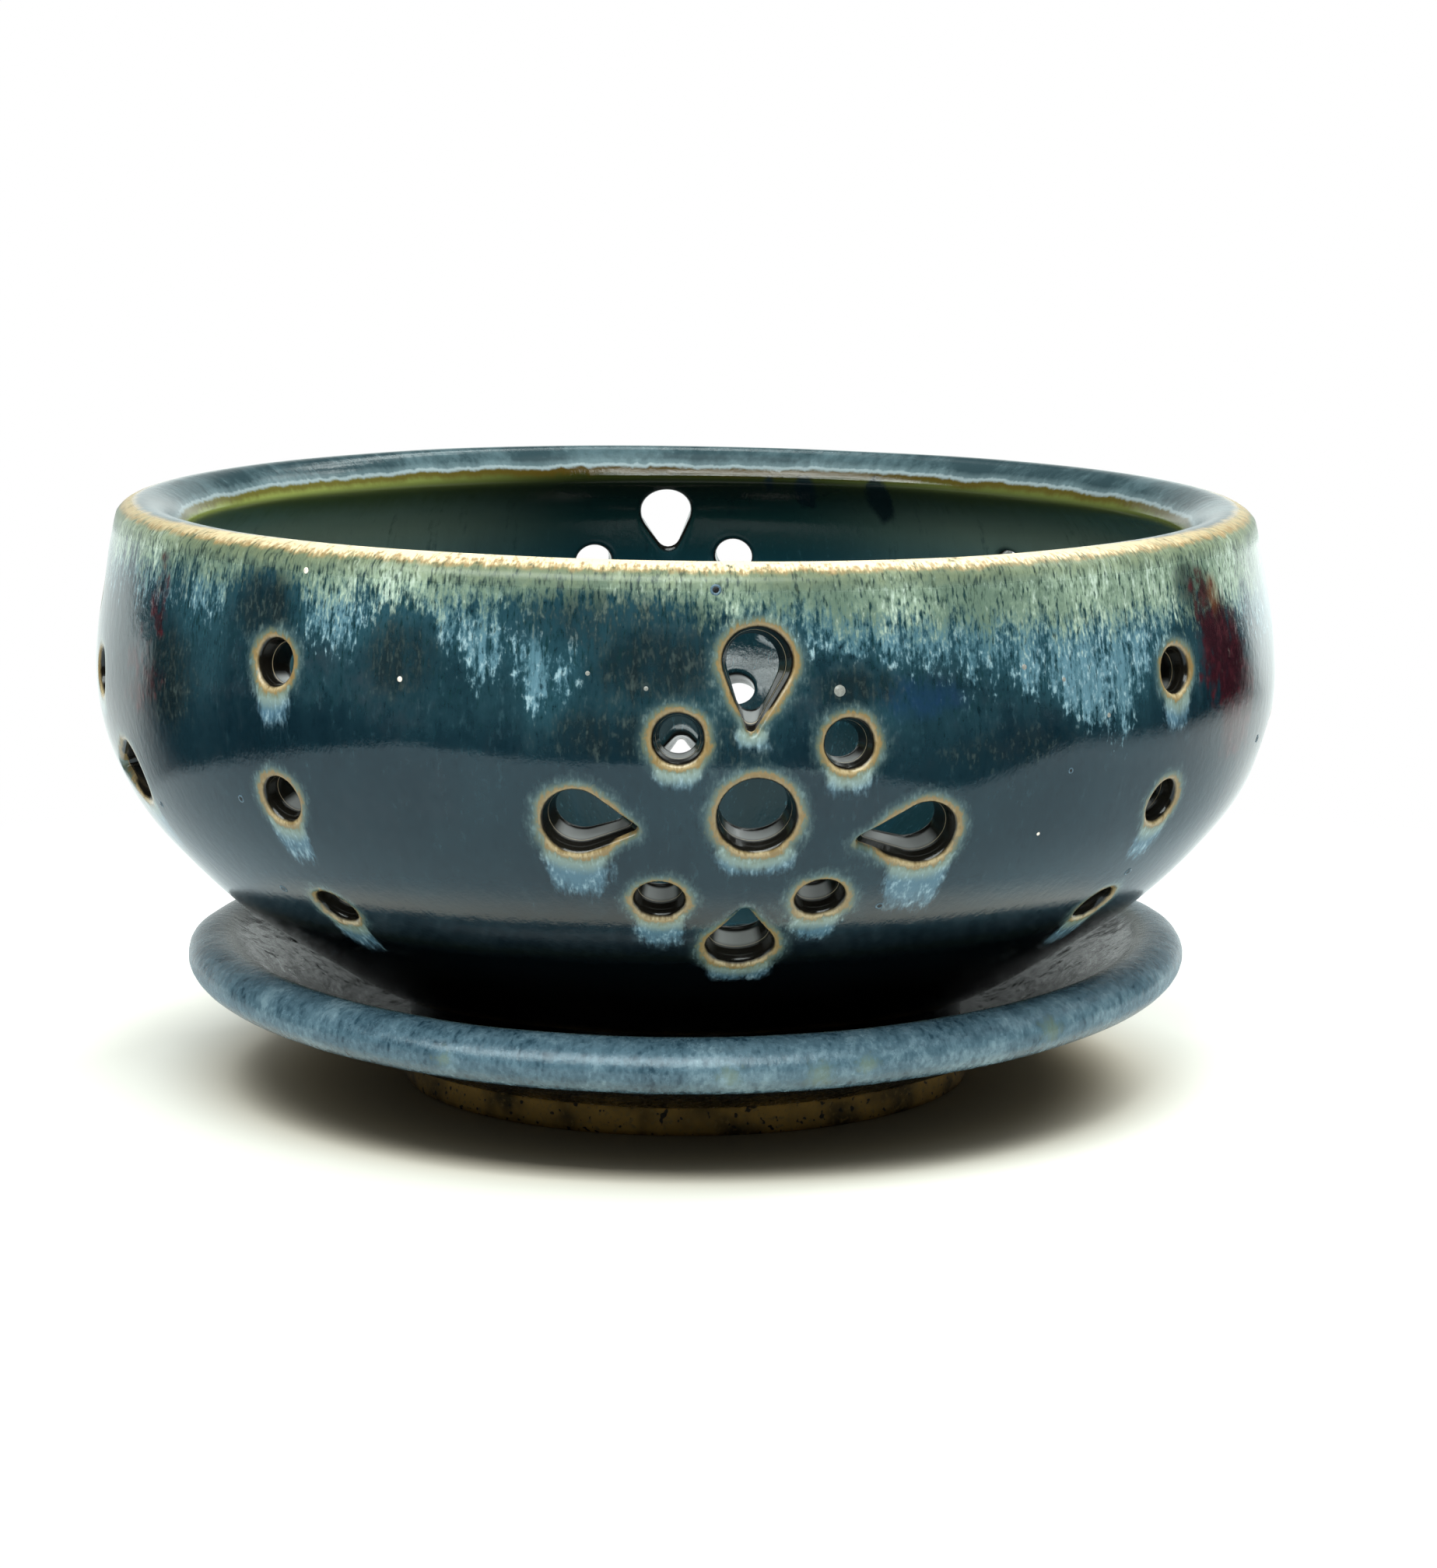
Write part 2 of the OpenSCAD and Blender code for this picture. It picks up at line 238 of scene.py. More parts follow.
def smooth_line(knots, steps):
    """A Catmull-Rom line through all knots, with so many steps between two."""
    p = np.array(knots, dtype=float)
    last = len(p) - 1
    line = []
    for i in range(last):
        a, b, c, d = p[max(i - 1, 0)], p[i], p[i + 1], p[min(i + 2, last)]
        for t in np.arange(steps) / steps:
            line.append((2 * b + (c - a) * t + (2 * a - 5 * b + 4 * c - d) * t * t
                         + (3 * b - a - 3 * c + d) * t ** 3) / 2)
    return np.array(line + [p[last]])


def runs_of(line):
    """Length of a line up to each of its points."""
    steps = np.hypot(*np.diff(line, axis=0).T)
    return np.concatenate([[0.0], np.cumsum(steps)])


class Skin:
    """The bowl's turned outline in mm, from the top of its foot over the rim to its floor."""

    def __init__(self, sizes):
        s = {k: getattr(sizes, k) / MM for k in (
            "bowl_width", "bowl_height", "wall", "floor", "rim_width", "foot_width",
            "foot_height", "foot_ring", "foot_hollow", "saucer_floor", "saucer_hollow")}
        self.seat = s["saucer_floor"] + s["saucer_hollow"]
        self.foot = s["foot_width"] / 2
        self.ring = s["foot_ring"]
        self.hollow = s["foot_hollow"]
        self.top = self.seat + s["bowl_height"]
        radius = s["bowl_width"] / 2
        corner_h = s["bowl_height"] - s["rim_width"] * CREST_SHARE
        wall = [(self.foot, s["foot_height"])]
        wall += [(radius * a, corner_h * b) for a, b in WALL_SHARES]
        wall = np.array(wall)
        rim = [(wall[-1][0] - s["rim_width"] * a, wall[-1][1] + s["rim_width"] * b)
               for a, b in RIM_SHARES]
        inner = []
        for i in range(8, 0, -1):
            way = wall[i + 1] - wall[i - 1]
            inner.append(wall[i] + np.array([-way[1], way[0]]) / np.hypot(*way) * s["wall"])
        floor = s["foot_hollow"] + s["floor"]
        ends = [(self.foot * 0.96, floor + s["floor"] * 0.12), (self.foot * 0.76, floor),
                (self.foot * 0.5, floor)]
        line = smooth_line(list(wall) + rim + inner + ends, STEPS)
        line[:, 1] += self.seat
        self.line = line
        self.run = runs_of(line)
        way = np.gradient(line, self.run, axis=0)
        self.normal = np.stack([way[:, 1], -way[:, 0]], 1)
        self.normal /= np.hypot(*self.normal.T)[:, None]
        corner, lip = len(WALL_SHARES), len(WALL_SHARES) + 7
        self.corner_run = self.run[corner * STEPS]
        self.crest_run = self.run[(corner + 3) * STEPS]
        self.break_run = self.run[(lip - 1) * STEPS]
        # The pierced stretch of the wall, and what lies straight behind it on the inside.
        self.low = self.run[STEPS]
        outer = slice(STEPS, corner * STEPS + 1)
        below = line[outer, 1] < self.top - 3.9
        self.high = self.run[outer][below][-1]
        inside = line[lip * STEPS:]
        inside_run = self.run[lip * STEPS:]
        back = []
        for p, n in zip(line[outer][below], self.normal[outer][below]):
            rel = inside - p
            off = rel[:, 0] * n[1] - rel[:, 1] * n[0]
            depth = -(rel[:, 0] * n[0] + rel[:, 1] * n[1])
            hits = np.nonzero((off[:-1] * off[1:] <= 0) & (depth[:-1] > 0))[0]
            i = hits[np.argmin(depth[hits])]
            t = off[i] / (off[i] - off[i + 1]) if off[i] != off[i + 1] else 0.0
            back.append(inside_run[i] + t * (inside_run[i + 1] - inside_run[i]))
        self.back = np.minimum.accumulate(np.array(back))
        self.back_of = self.run[outer][below]

    def at(self, run):
        """Radius, height and outward normal of the outline at a run along it."""
        return [np.interp(run, self.run, c) for c in (
            self.line[:, 0], self.line[:, 1], self.normal[:, 0], self.normal[:, 1])]

    def behind(self, run):
        """Run of the inside that lies behind a run of the outside."""
        return np.interp(run, self.back_of, self.back)

    def run_at_height(self, z):
        """Run of the outside at a height."""
        use = self.run <= self.corner_run
        return float(np.interp(z, self.line[use, 1], self.run[use]))

    def run_at_floor(self, radius):
        """Run of the floor's upper side at a radius."""
        line, run = self.line[-8 * STEPS:], self.run[-8 * STEPS:]
        return float(np.interp(-radius, -line[:, 0], run))


class Hole:
    """One hole of the wall: a round end, and a tip beside it where it is a petal."""

    def __init__(self, turn, run, radius, drip, tip=None, tip_radius=0.0):
        self.turn, self.run, self.radius, self.drip = turn, run, radius, drip
        self.filled = OPEN_INSIDE[0] if radius > LARGE_HOLE else OPEN_INSIDE[1]
        self.reach, self.aim, self.tip_radius = 0.0, 0.0, radius
        if tip is not None:
            full = math.hypot(*tip)
            self.aim = math.atan2(tip[1], tip[0])
            self.tip_radius = tip_radius
            self.reach = full * (1 - tip_radius / radius)
            self.open = math.acos(radius / full)

    def outline(self, inside=False):
        """Points and outward normals around the opening, anticlockwise. Inside the bowl the
        opening is rounder and smaller, because the glaze filled it there."""
        near, far, reach = self.radius, self.tip_radius, self.reach
        if self.reach == 0.0:
            a = np.arange(40) * (2 * math.pi / 40)
            n = np.stack([np.cos(a), np.sin(a)], 1)
            return n * near * (self.filled if inside else 1.0), n
        if inside:
            near, far, reach = near * self.filled, near * TIP_INSIDE, reach * REACH_INSIDE
        turned = math.acos((near - far) / reach)
        big = np.linspace(turned, 2 * math.pi - turned, 30)
        small = np.linspace(-turned, turned, 8)
        n1 = np.stack([np.cos(big), np.sin(big)], 1)
        n2 = np.stack([np.cos(small), np.sin(small)], 1)
        ends = [n1 * near, n2 * far + np.array([reach, 0.0])]
        share = np.linspace(0, 1, 9)[1:-1, None]
        flank_a = ends[0][-1] * (1 - share) + ends[1][0] * share
        flank_b = ends[1][-1] * (1 - share) + ends[0][0] * share
        p = np.concatenate([ends[0], flank_a, ends[1], flank_b])
        n = np.concatenate([n1, np.repeat(n2[:1], 7, 0), n2, np.repeat(n2[-1:], 7, 0)])
        c, s = math.cos(self.aim), math.sin(self.aim)
        spin = np.array([[c, s], [-s, c]])
        return p @ spin, n @ spin

    def distance(self, across, rise):
        """Distance outside the opening, for points given around and up the wall."""
        if self.reach == 0.0:
            return np.hypot(across, rise) - self.radius
        c, s = math.cos(self.aim), math.sin(self.aim)
        x, y = across * c + rise * s, np.abs(rise * c - across * s)
        k = math.cos(self.open)
        h = math.sin(self.open)
        along = x * h - y * k
        flank = x * k + y * h - self.radius
        near = np.hypot(x, y) - self.radius
        far = np.hypot(x - self.reach, y) - self.tip_radius
        return np.where(along < 0, near, np.where(along > self.reach * h, far, flank))

    def closing(self, across, rise):
        """How far towards a petal's tip points lie, where glaze closed the cut, 0 to 1."""
        if self.reach == 0.0:
            return np.zeros(np.shape(across))
        c, s = math.cos(self.aim), math.sin(self.aim)
        return soft_step((across * c + rise * s) / self.reach, 0.55, 1.05)

    def low_point(self):
        """Lowest point of the opening, where the glaze gathers and runs."""
        p, _ = self.outline()
        return p[np.argmin(p[:, 1])]


def wall_holes(skin, cut):
    """Every hole of the wall, placed as the potter cut them."""
    eye_run = skin.run_at_height(skin.seat + cut.eye_height / MM)
    holes = []

    def place(turn, across, rise, diameter, drip, tip=None):
        run = eye_run + rise
        angle = math.degrees(cut.turn) + turn + math.degrees(across / skin.at(run)[0])
        angle = (angle - LAYOUT_START) % 360 + LAYOUT_START
        holes.append(Hole(angle, run, diameter / MM / 2, drip, tip, cut.tip / MM))

    reach, bud_reach = cut.petal_reach / MM, cut.bud_reach / MM
    for share, lift, shift in FLOWER_TURNS:
        up = lift * reach
        place(share * 360, 0.0, up, cut.eye, 4.5)
        for middle, end, drip in PETALS:
            tip = ((end[0] - middle[0]) * reach, (end[1] - middle[1]) * reach)
            moved = shift if middle[1] < -0.5 else 0.0
            place(share * 360, (middle[0] + BOTTOM_SHIFT[0] * moved) * reach,
                  (middle[1] + BOTTOM_SHIFT[1] * moved) * reach + up, cut.petal, drip, tip)
        for spot, drip, off in BUDS:
            place(share * 360, (spot[0] + off[0] * shift) * bud_reach,
                  (spot[1] + off[1] * shift) * bud_reach + up, cut.bud, drip)
        # Less glaze filled the cuts at the back.
        for hole in holes[-9:]:
            hole.filled += (0.97 - hole.filled) * shift
    for share, lift in ROW_TURNS:
        for rise, drip in DOTS:
            place(share * 360, 0.0, (rise + lift) * cut.dot_pitch / MM, cut.dot, drip)
    return holes


def soft_step(x, low, high):
    """0 below low, 1 above high, smooth between."""
    t = np.clip((x - low) / (high - low), 0, 1)
    return t * t * (3 - 2 * t)


def patch(turn, height, spots):
    """How far each point lies inside any of a list of soft oval spots, 0 to 1."""
    out = np.zeros_like(height)
    for a, z, wide, tall, most in spots:
        off = (turn - a + 180) % 360 - 180
        reach = np.hypot(off / wide, (height - z) / tall)
        out = np.maximum(out, most * (1 - soft_step(reach, 0.4, 1.3)))
    return out


def keep_data(data, key, field, rows):
    """Store vectors or values on the points of a mesh."""
    kind = "FLOAT_VECTOR" if field == "vector" else "FLOAT"
    layer = data.attributes.new(key, kind, "POINT")
    layer.data.foreach_set(field, np.array(rows, np.float32).ravel())


class Sheet:
    """Collects the vertices of the bowl with what the glaze needs to know at each."""

    def __init__(self, skin, sizes):
        self.skin, self.tilt = skin, sizes.rim_tilt
        self.points, self.ways, self.marks, self.more, self.faces = [], [], [], [], []
        self.count = 0

    def relief(self, turn, run):
        """The slight waves that hands and glaze leave, in mm."""
        a = np.radians(turn)
        return (0.09 * np.sin(3 * a + 0.03 * run + 0.4) + 0.05 * np.sin(5 * a - 0.06 * run + 2.0)
                + 0.022 * np.sin(2 * math.pi * run / 12.5 + 1.5 * np.sin(a))
                + 0.012 * np.sin(11 * a + run / 5.0) + 0.010 * np.sin(17 * a - run / 3.1))

    def place(self, turn, run, drop=0.0):
        """Points on the skin at an angle and run, sunk into the clay by drop."""
        r, z, nr, nz = self.skin.at(run)
        off = self.relief(turn, run) * soft_step(r, 20, 45) - drop
        r, z = r + nr * off, z + nz * off
        a = np.radians(turn)
        p = np.stack([r * np.sin(a), -r * np.cos(a), z], -1)
        return self.lean(p)

    def lean(self, p):
        up = np.clip((p[:, 2] - self.skin.seat) / (self.skin.top - self.skin.seat), 0, 1)
        p[:, 2] -= self.tilt * p[:, 0] * up
        p[:, 0] *= 1 + 0.0016 * up
        p[:, 1] *= 1 - 0.0016 * up
        return p

    def keep(self, p, turn, run, edge, drip):
        """Store vertices and their glaze data, and give their numbers."""
        n = len(p)
        turn, run = np.broadcast_to(turn, n).astype(float), np.broadcast_to(run, n).astype(float)
        skin = self.skin
        a = np.radians(turn)
        r, z, _, _ = skin.at(run)
        round_r = PATTERN_RADIUS * np.clip(r / NARROWS_FROM, 0, 1)
        self.ways.append(np.stack([round_r * np.sin(a), -round_r * np.cos(a), run], 1))
        outside = run <= skin.corner_run + 1e-6
        edges = np.array(PALE_EDGE + [(PALE_EDGE[0][0] + 360, PALE_EDGE[0][1])], float)
        wrap = (turn - LAYOUT_START) % 360 + LAYOUT_START
        low = np.interp(wrap, edges[:, 0], edges[:, 1])
        pale = np.where(outside, soft_step(z, low - 4.5, low + 5.5), 0.0)
        ink = np.where(outside, patch(turn, z, INK), patch(turn, z, RUNS))
        plum = np.where(outside, patch(turn, z, PLUM), 0.0)
        self.marks.append(np.stack([pale, ink, plum], 1))
        cobalt = np.where(outside, patch(turn, z, COBALT), 0.0)
        rust = np.where(outside, patch(turn, z, RUST), 0.0)
        self.more.append(np.stack([np.broadcast_to(edge, n), np.broadcast_to(drip, n),
                                   cobalt - rust], 1))
        self.points.append(p)
        first = self.count
        self.count += n
        return np.arange(first, first + n)

    def strips(self, rings):
        """Quads between closed rings of equal count, each ring given as vertex numbers."""
        for low, high in zip(rings[:-1], rings[1:]):
            a, b = np.roll(low, -1), np.roll(high, -1)
            self.faces += np.stack([low, a, b, high], 1).tolist()

    def mesh(self, name):
        """The finished mesh in metres, with its glaze data as attributes."""
        data = bpy.data.meshes.new(name)
        points = np.concatenate(self.points) * MM
        data.from_pydata(points.tolist(), [], self.faces)
        keep_data(data, "glaze_way", "vector", np.concatenate(self.ways))
        keep_data(data, "glaze_marks", "vector", np.concatenate(self.marks))
        keep_data(data, "glaze_edges", "vector", np.concatenate(self.more))
        data.validate()
        data.shade_smooth()
        return data


def triangles_of(points, loops):
    """Triangles over points in a plane, keeping the edges of the given loops."""
    edges = [(int(a), int(b)) for loop in loops for a, b in zip(loop, np.roll(loop, -1))]
    made = delaunay_2d_cdt([Vector((float(x), float(y))) for x, y in points], edges, [], 0,
                           1e-6, True)
    origin = [o[0] for o in made[3]]
    tri = np.array([[origin[i] for i in f] for f in made[2]])
    a, b, c = (points[tri[:, i]] for i in range(3))
    area = (b[:, 0] - a[:, 0]) * (c[:, 1] - a[:, 1]) - (b[:, 1] - a[:, 1]) * (c[:, 0] - a[:, 0])
    tri[area < 0] = tri[area < 0][:, ::-1]
    return tri[np.abs(area) > 1e-9]


def edge_rings(edge):
    """Offsets from an opening and sinks below the surface that round its edge over."""
    turn = np.radians([90, 68, 46, 23, 0])
    rings = [(edge + 1.1, 0.0), (edge + 0.5, 0.0)]
    rings += [(edge * (1 - math.cos(t)), edge * (1 - math.sin(t))) for t in turn]
    return rings


def pierced_wall(sheet, holes, edge, sides):
    """The wall between foot and rim, outside and inside, with its holes."""
    skin = sheet.skin
    # The wall is laid out flat at this radius, in mm. A petal's closed tip shows less edge.
    flat_r, tip_gap = 80.0, 0.8
    pitch = 2 * math.pi * flat_r / sides
    rows = int(round((skin.high - skin.low) / pitch))
    heights = np.linspace(skin.low, skin.high, rows + 1)
    turns = LAYOUT_START + np.arange(sides + 1) * (360.0 / sides)
    grid = np.array([(math.radians(t) * flat_r, v) for v in heights for t in turns])
    radius = skin.at(grid[:, 1])[0]
    near = np.full(len(grid), NO_HOLE)
    drips = np.zeros(len(grid))
    on_edge = (np.arange(len(grid)) < sides + 1) | (np.arange(len(grid)) >= rows * (sides + 1))
    keep = np.ones(len(grid), bool)
    rings = edge_rings(edge)
    widest = rings[0][0]

    def local(hole, u, v, r):
        return (u - math.radians(hole.turn) * flat_r) * r / flat_r, v - hole.run

    def run_down(hole, across, rise):
        x, y = hole.low_point()
        down = (y - rise) / hole.drip
        wide = max(1.6, hole.radius * (1.05 if y > -hole.radius * 1.3 else 0.5))
        side = np.abs(across - x) / (wide * (1 - 0.25 * np.clip(down, 0, 1)))
        fall = 1 - soft_step(down, 0.35, 1.05)
        return fall * (1 - soft_step(side, 0.65, 1.25)) * soft_step(down, -0.35, 0.05)

    for hole in holes:
        a, b = local(hole, grid[:, 0], grid[:, 1], radius)
        gap = hole.distance(a, b)
        near = np.minimum(near, gap + hole.closing(a, b) * tip_gap)
        drips = np.maximum(drips, run_down(hole, a, b))
        keep &= (gap > widest + pitch * 0.45) | on_edge
    number = np.full(len(grid), -1)
    number[keep] = np.arange(keep.sum())
    flat = [grid[keep]]
    count = int(keep.sum())
    loops, ring_data, inside_data = [], [], []
    for hole in holes:
        p, n = hole.outline()
        p_in, n_in = hole.outline(inside=True)
        loop = None
        data, inside = [], []
        for offset, sink in rings:
            q = p + n * offset
            v = hole.run + q[:, 1]
            r = skin.at(v)[0]
            u = math.radians(hole.turn) * flat_r + q[:, 0] * flat_r / r
            drip = np.zeros(len(q))
            for other in holes:
                if abs(other.turn - hole.turn) < 40:
                    a, b = local(other, u, v, r)
                    drip = np.maximum(drip, run_down(other, a, b))
            shown = offset + hole.closing(q[:, 0], q[:, 1]) * tip_gap
            data.append((np.degrees(u / flat_r), v, sink, shown, drip))
            part = offset / widest
            q_in = (p_in + n_in * offset) * (1 - part) + q * part
            v_in = hole.run + q_in[:, 1]
            u_in = hole.turn + np.degrees(q_in[:, 0] / skin.at(v_in)[0])
            inside.append((u_in, skin.behind(v_in), sink, offset))
            if loop is None:
                loop = np.arange(count, count + len(q))
                flat.append(np.stack([u, v], 1))
                count += len(q)
        loops.append(loop)
        ring_data.append(data)
        inside_data.append(inside)
    flat = np.concatenate(flat)
    tri = triangles_of(flat, loops)
    heights_of = flat[tri][:, :, 1]
    middle = flat[tri].mean(axis=1)
    r_mid = skin.at(middle[:, 1])[0]
    solid = (heights_of.max(axis=1) > skin.low) & (heights_of.min(axis=1) < skin.high)
    for hole in holes:
        a, b = local(hole, middle[:, 0], middle[:, 1], r_mid)
        solid &= hole.distance(a, b) > widest - 0.02
    tri = tri[solid]

    turn = np.degrees(flat[:, 0] / flat_r)
    run = flat[:, 1]
    gaps = np.concatenate([near[keep]] + [d[0][3] for d in ring_data])
    falls = np.concatenate([drips[keep]] + [d[0][4] for d in ring_data])
    back = skin.behind(run)
    outer = sheet.keep(sheet.place(turn, run), turn, run, gaps, falls)
    inner = sheet.keep(sheet.place(turn, back), turn, back, gaps, 0.0)
    # The layout's two ends are one and the same line on the bowl.
    grid_number = number.reshape(rows + 1, sides + 1)
    same = np.arange(len(flat))
    same[grid_number[:, -1]] = grid_number[:, 0]
    tri = same[tri]
    sheet.faces += outer[tri].tolist() + inner[tri][:, ::-1].tolist()

    for hole, loop, data, inside in zip(holes, loops, ring_data, inside_data):
        # A painted highlight marks the ledge that the bottom of a cut makes, towards the inside.
        ledge_highlight = soft_step(-hole.outline()[1][:, 1], 0.5, 0.85)
        chain = [outer[loop]]
        for turn_, run_, sink, offset, drip in data[1:]:
            chain.append(sheet.keep(sheet.place(turn_, run_, sink), turn_, run_, offset, drip))
        turn_, run_, sink = data[-1][:3]
        turn_in, run_in = inside[-1][:2]
        p0, p1 = sheet.place(turn_, run_, sink), sheet.place(turn_in, run_in, sink)
        for share in (0.12, 0.3, 0.5, 0.7, 0.88):
            p = p0 * (1 - share) + p1 * share
            depth = np.linalg.norm(p1 - p0, axis=1) * min(share, 1 - share)
            where = run_ if share < 0.5 else run_in
            chain.append(sheet.keep(p, turn_, where, -depth, ledge_highlight * (share > 0.4)))
        for turn_, run_, sink, offset in inside[:0:-1]:
            chain.append(sheet.keep(sheet.place(turn_, run_, sink), turn_, run_, offset,
                                    ledge_highlight * (offset < 0.3)))
        chain.append(inner[loop])
        sheet.strips(chain)
    around = grid_number[:, :-1]
    return outer[around[0]], outer[around[-1]], inner[around[0]], inner[around[-1]], turns[:-1]


def drained_floor(sheet, cut, upper, lower, turns, radius):
    """The middle of the bowl's floor with its drain holes, above and below."""
    skin = sheet.skin
    floor_run = skin.run_at_floor(radius)
    edge = cut.edge / MM
    rings = edge_rings(edge)
    widest = rings[0][0]
    top = skin.line[-1, 1]
    bottom = skin.seat + skin.hollow
    spots = [(0.0, 0.0)] + [
        (cut.drain_ring / MM / 2 * math.cos(a), cut.drain_ring / MM / 2 * math.sin(a))
        for a in np.arange(cut.drains) * 2 * math.pi / cut.drains]
    angle = np.radians(turns)
    border = np.stack([radius * np.sin(angle), -radius * np.cos(angle)], 1)
    step = 2.0
    ticks = np.arange(-radius, radius + step, step)
    grid = np.array([(x, y) for y in ticks for x in ticks])
    grid = grid[np.hypot(grid[:, 0], grid[:, 1]) < radius - step * 0.7]
    hole_r = cut.drain / MM / 2
    for x, y in spots:
        grid = grid[np.hypot(grid[:, 0] - x, grid[:, 1] - y) > hole_r + widest + 0.8]
    around = np.arange(36) * (2 * math.pi / 36)
    unit = np.stack([np.cos(around), np.sin(around)], 1)
    flat = [border, grid]
    count = len(border) + len(grid)
    loops = [np.arange(len(border))]
    for spot in spots:
        flat.append(np.array(spot) + unit * (hole_r + widest))
        loops.append(np.arange(count, count + len(unit)))
        count += len(unit)
    flat = np.concatenate(flat)
    tri = triangles_of(flat, loops)
    middle = flat[tri].mean(axis=1)
    solid = np.ones(len(tri), bool)
    for x, y in spots:
        solid &= np.hypot(middle[:, 0] - x, middle[:, 1] - y) > hole_r + widest - 0.05
    tri = tri[solid]

    def store(xy, z, gap, run):
        turn = np.degrees(np.arctan2(xy[:, 0], -xy[:, 1]))
        p = np.column_stack([xy, np.full(len(xy), z)])
        numbers = sheet.keep(p, turn, run, gap, 0.0)
        # The floor's own pattern lies flat instead of running to its middle.
        sheet.ways[-1] = np.column_stack([xy * 2.0, np.full(len(xy), run)])
        return numbers

    inner_xy = flat[len(border):]
    gap = np.full(len(inner_xy), NO_HOLE)
    for x, y in spots:
        gap = np.minimum(gap, np.hypot(inner_xy[:, 0] - x, inner_xy[:, 1] - y) - hole_r)
    up = np.concatenate([upper, store(inner_xy, top, gap, floor_run)])
    down = np.concatenate([lower, store(inner_xy, bottom, gap, 0.0)])
    sheet.faces += up[tri].tolist() + down[tri][:, ::-1].tolist()
    for spot, loop in zip(spots, loops[1:]):
        chain = [up[loop]]
        for offset, sink in rings[1:]:
            chain.append(store(np.array(spot) + unit * (hole_r + offset), top - sink, offset,
                               floor_run))
        for share in (0.3, 0.5, 0.7):
            chain.append(store(np.array(spot) + unit * hole_r,
                               top + (bottom - top) * share, -1.0, floor_run))
        for offset, sink in rings[:0:-1]:
            chain.append(store(np.array(spot) + unit * (hole_r + offset), bottom + sink, offset,
                               0.0))
        chain.append(down[loop])
        sheet.strips(chain)


def eased(points, ease, steps=4):
    """A line with its corners rounded by quarter turns."""
    out = [points[0]]
    for a, b, c in zip(points[:-2], points[1:-1], points[2:]):
        a, b, c = np.array(a, float), np.array(b, float), np.array(c, float)
        reach = min(ease, np.hypot(*(a - b)) * 0.45, np.hypot(*(c - b)) * 0.45)
        p = b + (a - b) / np.hypot(*(a - b)) * reach
        q = b + (c - b) / np.hypot(*(c - b)) * reach
        for t in np.linspace(0, 1, steps + 1):
            out.append(p * (1 - t) ** 2 + 2 * b * t * (1 - t) + q * t * t)
    out.append(points[-1])
    return [tuple(float(v) for v in p) for p in out]


def bowl_mesh(sizes, cut):
    """The whole bowl as one closed mesh."""
    skin = Skin(sizes)
    sheet = Sheet(skin, sizes)
    sides = 288
    holes = wall_holes(skin, cut)
    low, high, in_low, in_high, turns = pierced_wall(sheet, holes, cut.edge / MM, sides)
    back_high, back_low = float(skin.behind(skin.high)), float(skin.behind(skin.low))

    rim = [high]
    for run in np.linspace(skin.high, back_high, 30)[1:-1]:
        rim.append(sheet.keep(sheet.place(turns, run), turns, run, NO_HOLE, 0.0))
    rim.append(in_high)
    sheet.strips(rim)

    floor_r = skin.foot * FLOOR_SHARE
    floor_run = skin.run_at_floor(floor_r)
    down = [in_low]
    for run in np.linspace(back_low, floor_run, 9)[1:]:
        down.append(sheet.keep(sheet.place(turns, run), turns, run, NO_HOLE, 0.0))
    sheet.strips(down)

    seat, foot, ring = skin.seat, skin.foot, skin.ring
    half = STEPS // 2
    under = eased([(floor_r, seat + skin.hollow), (foot - ring, seat + skin.hollow),
                   (foot - ring, seat), (foot, seat), tuple(skin.line[0]),
                   tuple(skin.line[half])], FOOT_EASE)
    angle = np.radians(turns)
    up = []
    clay_from = len(sheet.faces)
    for r, z in under[:-1]:
        p = sheet.lean(np.stack([r * np.sin(angle), -r * np.cos(angle), np.full(sides, z)], 1))
        up.append(sheet.keep(p, turns, 0.0, NO_HOLE, 0.0))
    bare = next(i for i, (r, z) in enumerate(under) if r > foot - 0.05 and z > seat + 0.7)
    sheet.strips(up[:bare + 1])
    clay_to = len(sheet.faces)
    sheet.strips(up[bare:])
    tail = [up[-1]]
    for run in np.linspace(skin.run[half], skin.low, 4)[:-1]:
        tail.append(sheet.keep(sheet.place(turns, run), turns, run, NO_HOLE, 0.0))
    sheet.strips(tail + [low])
    drained_floor(sheet, cut, down[-1], up[0], turns, floor_r)
    data = sheet.mesh("colander_bowl_form")
    dress = np.zeros(len(data.polygons), np.int32)
    dress[clay_from:clay_to] = 1
    data.polygons.foreach_set("material_index", dress)
    return data, skin


def grained(tree, way, around, along, detail, rough=0.55):
    """Noise on the glaze's own run, about -1 to 1, its grain's size around and along in mm."""
    spread = add(tree, "ShaderNodeVectorMath", {0: way, 1: (1 / around, 1 / around, 1 / along)},
                 operation="MULTIPLY")
    noise = add(tree, "ShaderNodeTexNoise", {
        "Vector": spread.outputs[0], "Scale": 1.0, "Detail": detail, "Roughness": rough})
    return joined(tree, "MULTIPLY", joined(tree, "SUBTRACT", noise.outputs[0], 0.5), 4.0)


def layered(tree, base, layers):
    """Colours laid over each other. A layer is its mask, its colour as an output, three values
    or a hex code, and what else thins the mask."""
    def full(colour):
        if isinstance(colour, bpy.types.NodeSocket):
            return colour
        return (*(paint(colour) if isinstance(colour, str) else colour), 1.0)

    for mask, colour, *thinner in layers:
        mask = joined(tree, "MULTIPLY", mask, *thinner)
        base = add(tree, "ShaderNodeMix", {0: mask, 6: full(base), 7: full(colour)},
                   data_type="RGBA").outputs[2]
    return base


def ramp(tree, value, low, high):
    """A smooth mask that rises from low to high, or falls where high is the smaller."""
    flip = high < low
    lo, hi = (high, low) if flip else (low, high)
    ends = (1.0, 0.0) if flip else (0.0, 1.0)
    return add(tree, "ShaderNodeMapRange", {0: value, 1: lo, 2: hi, 3: ends[0], 4: ends[1]},
               interpolation_type="SMOOTHSTEP").outputs[0]


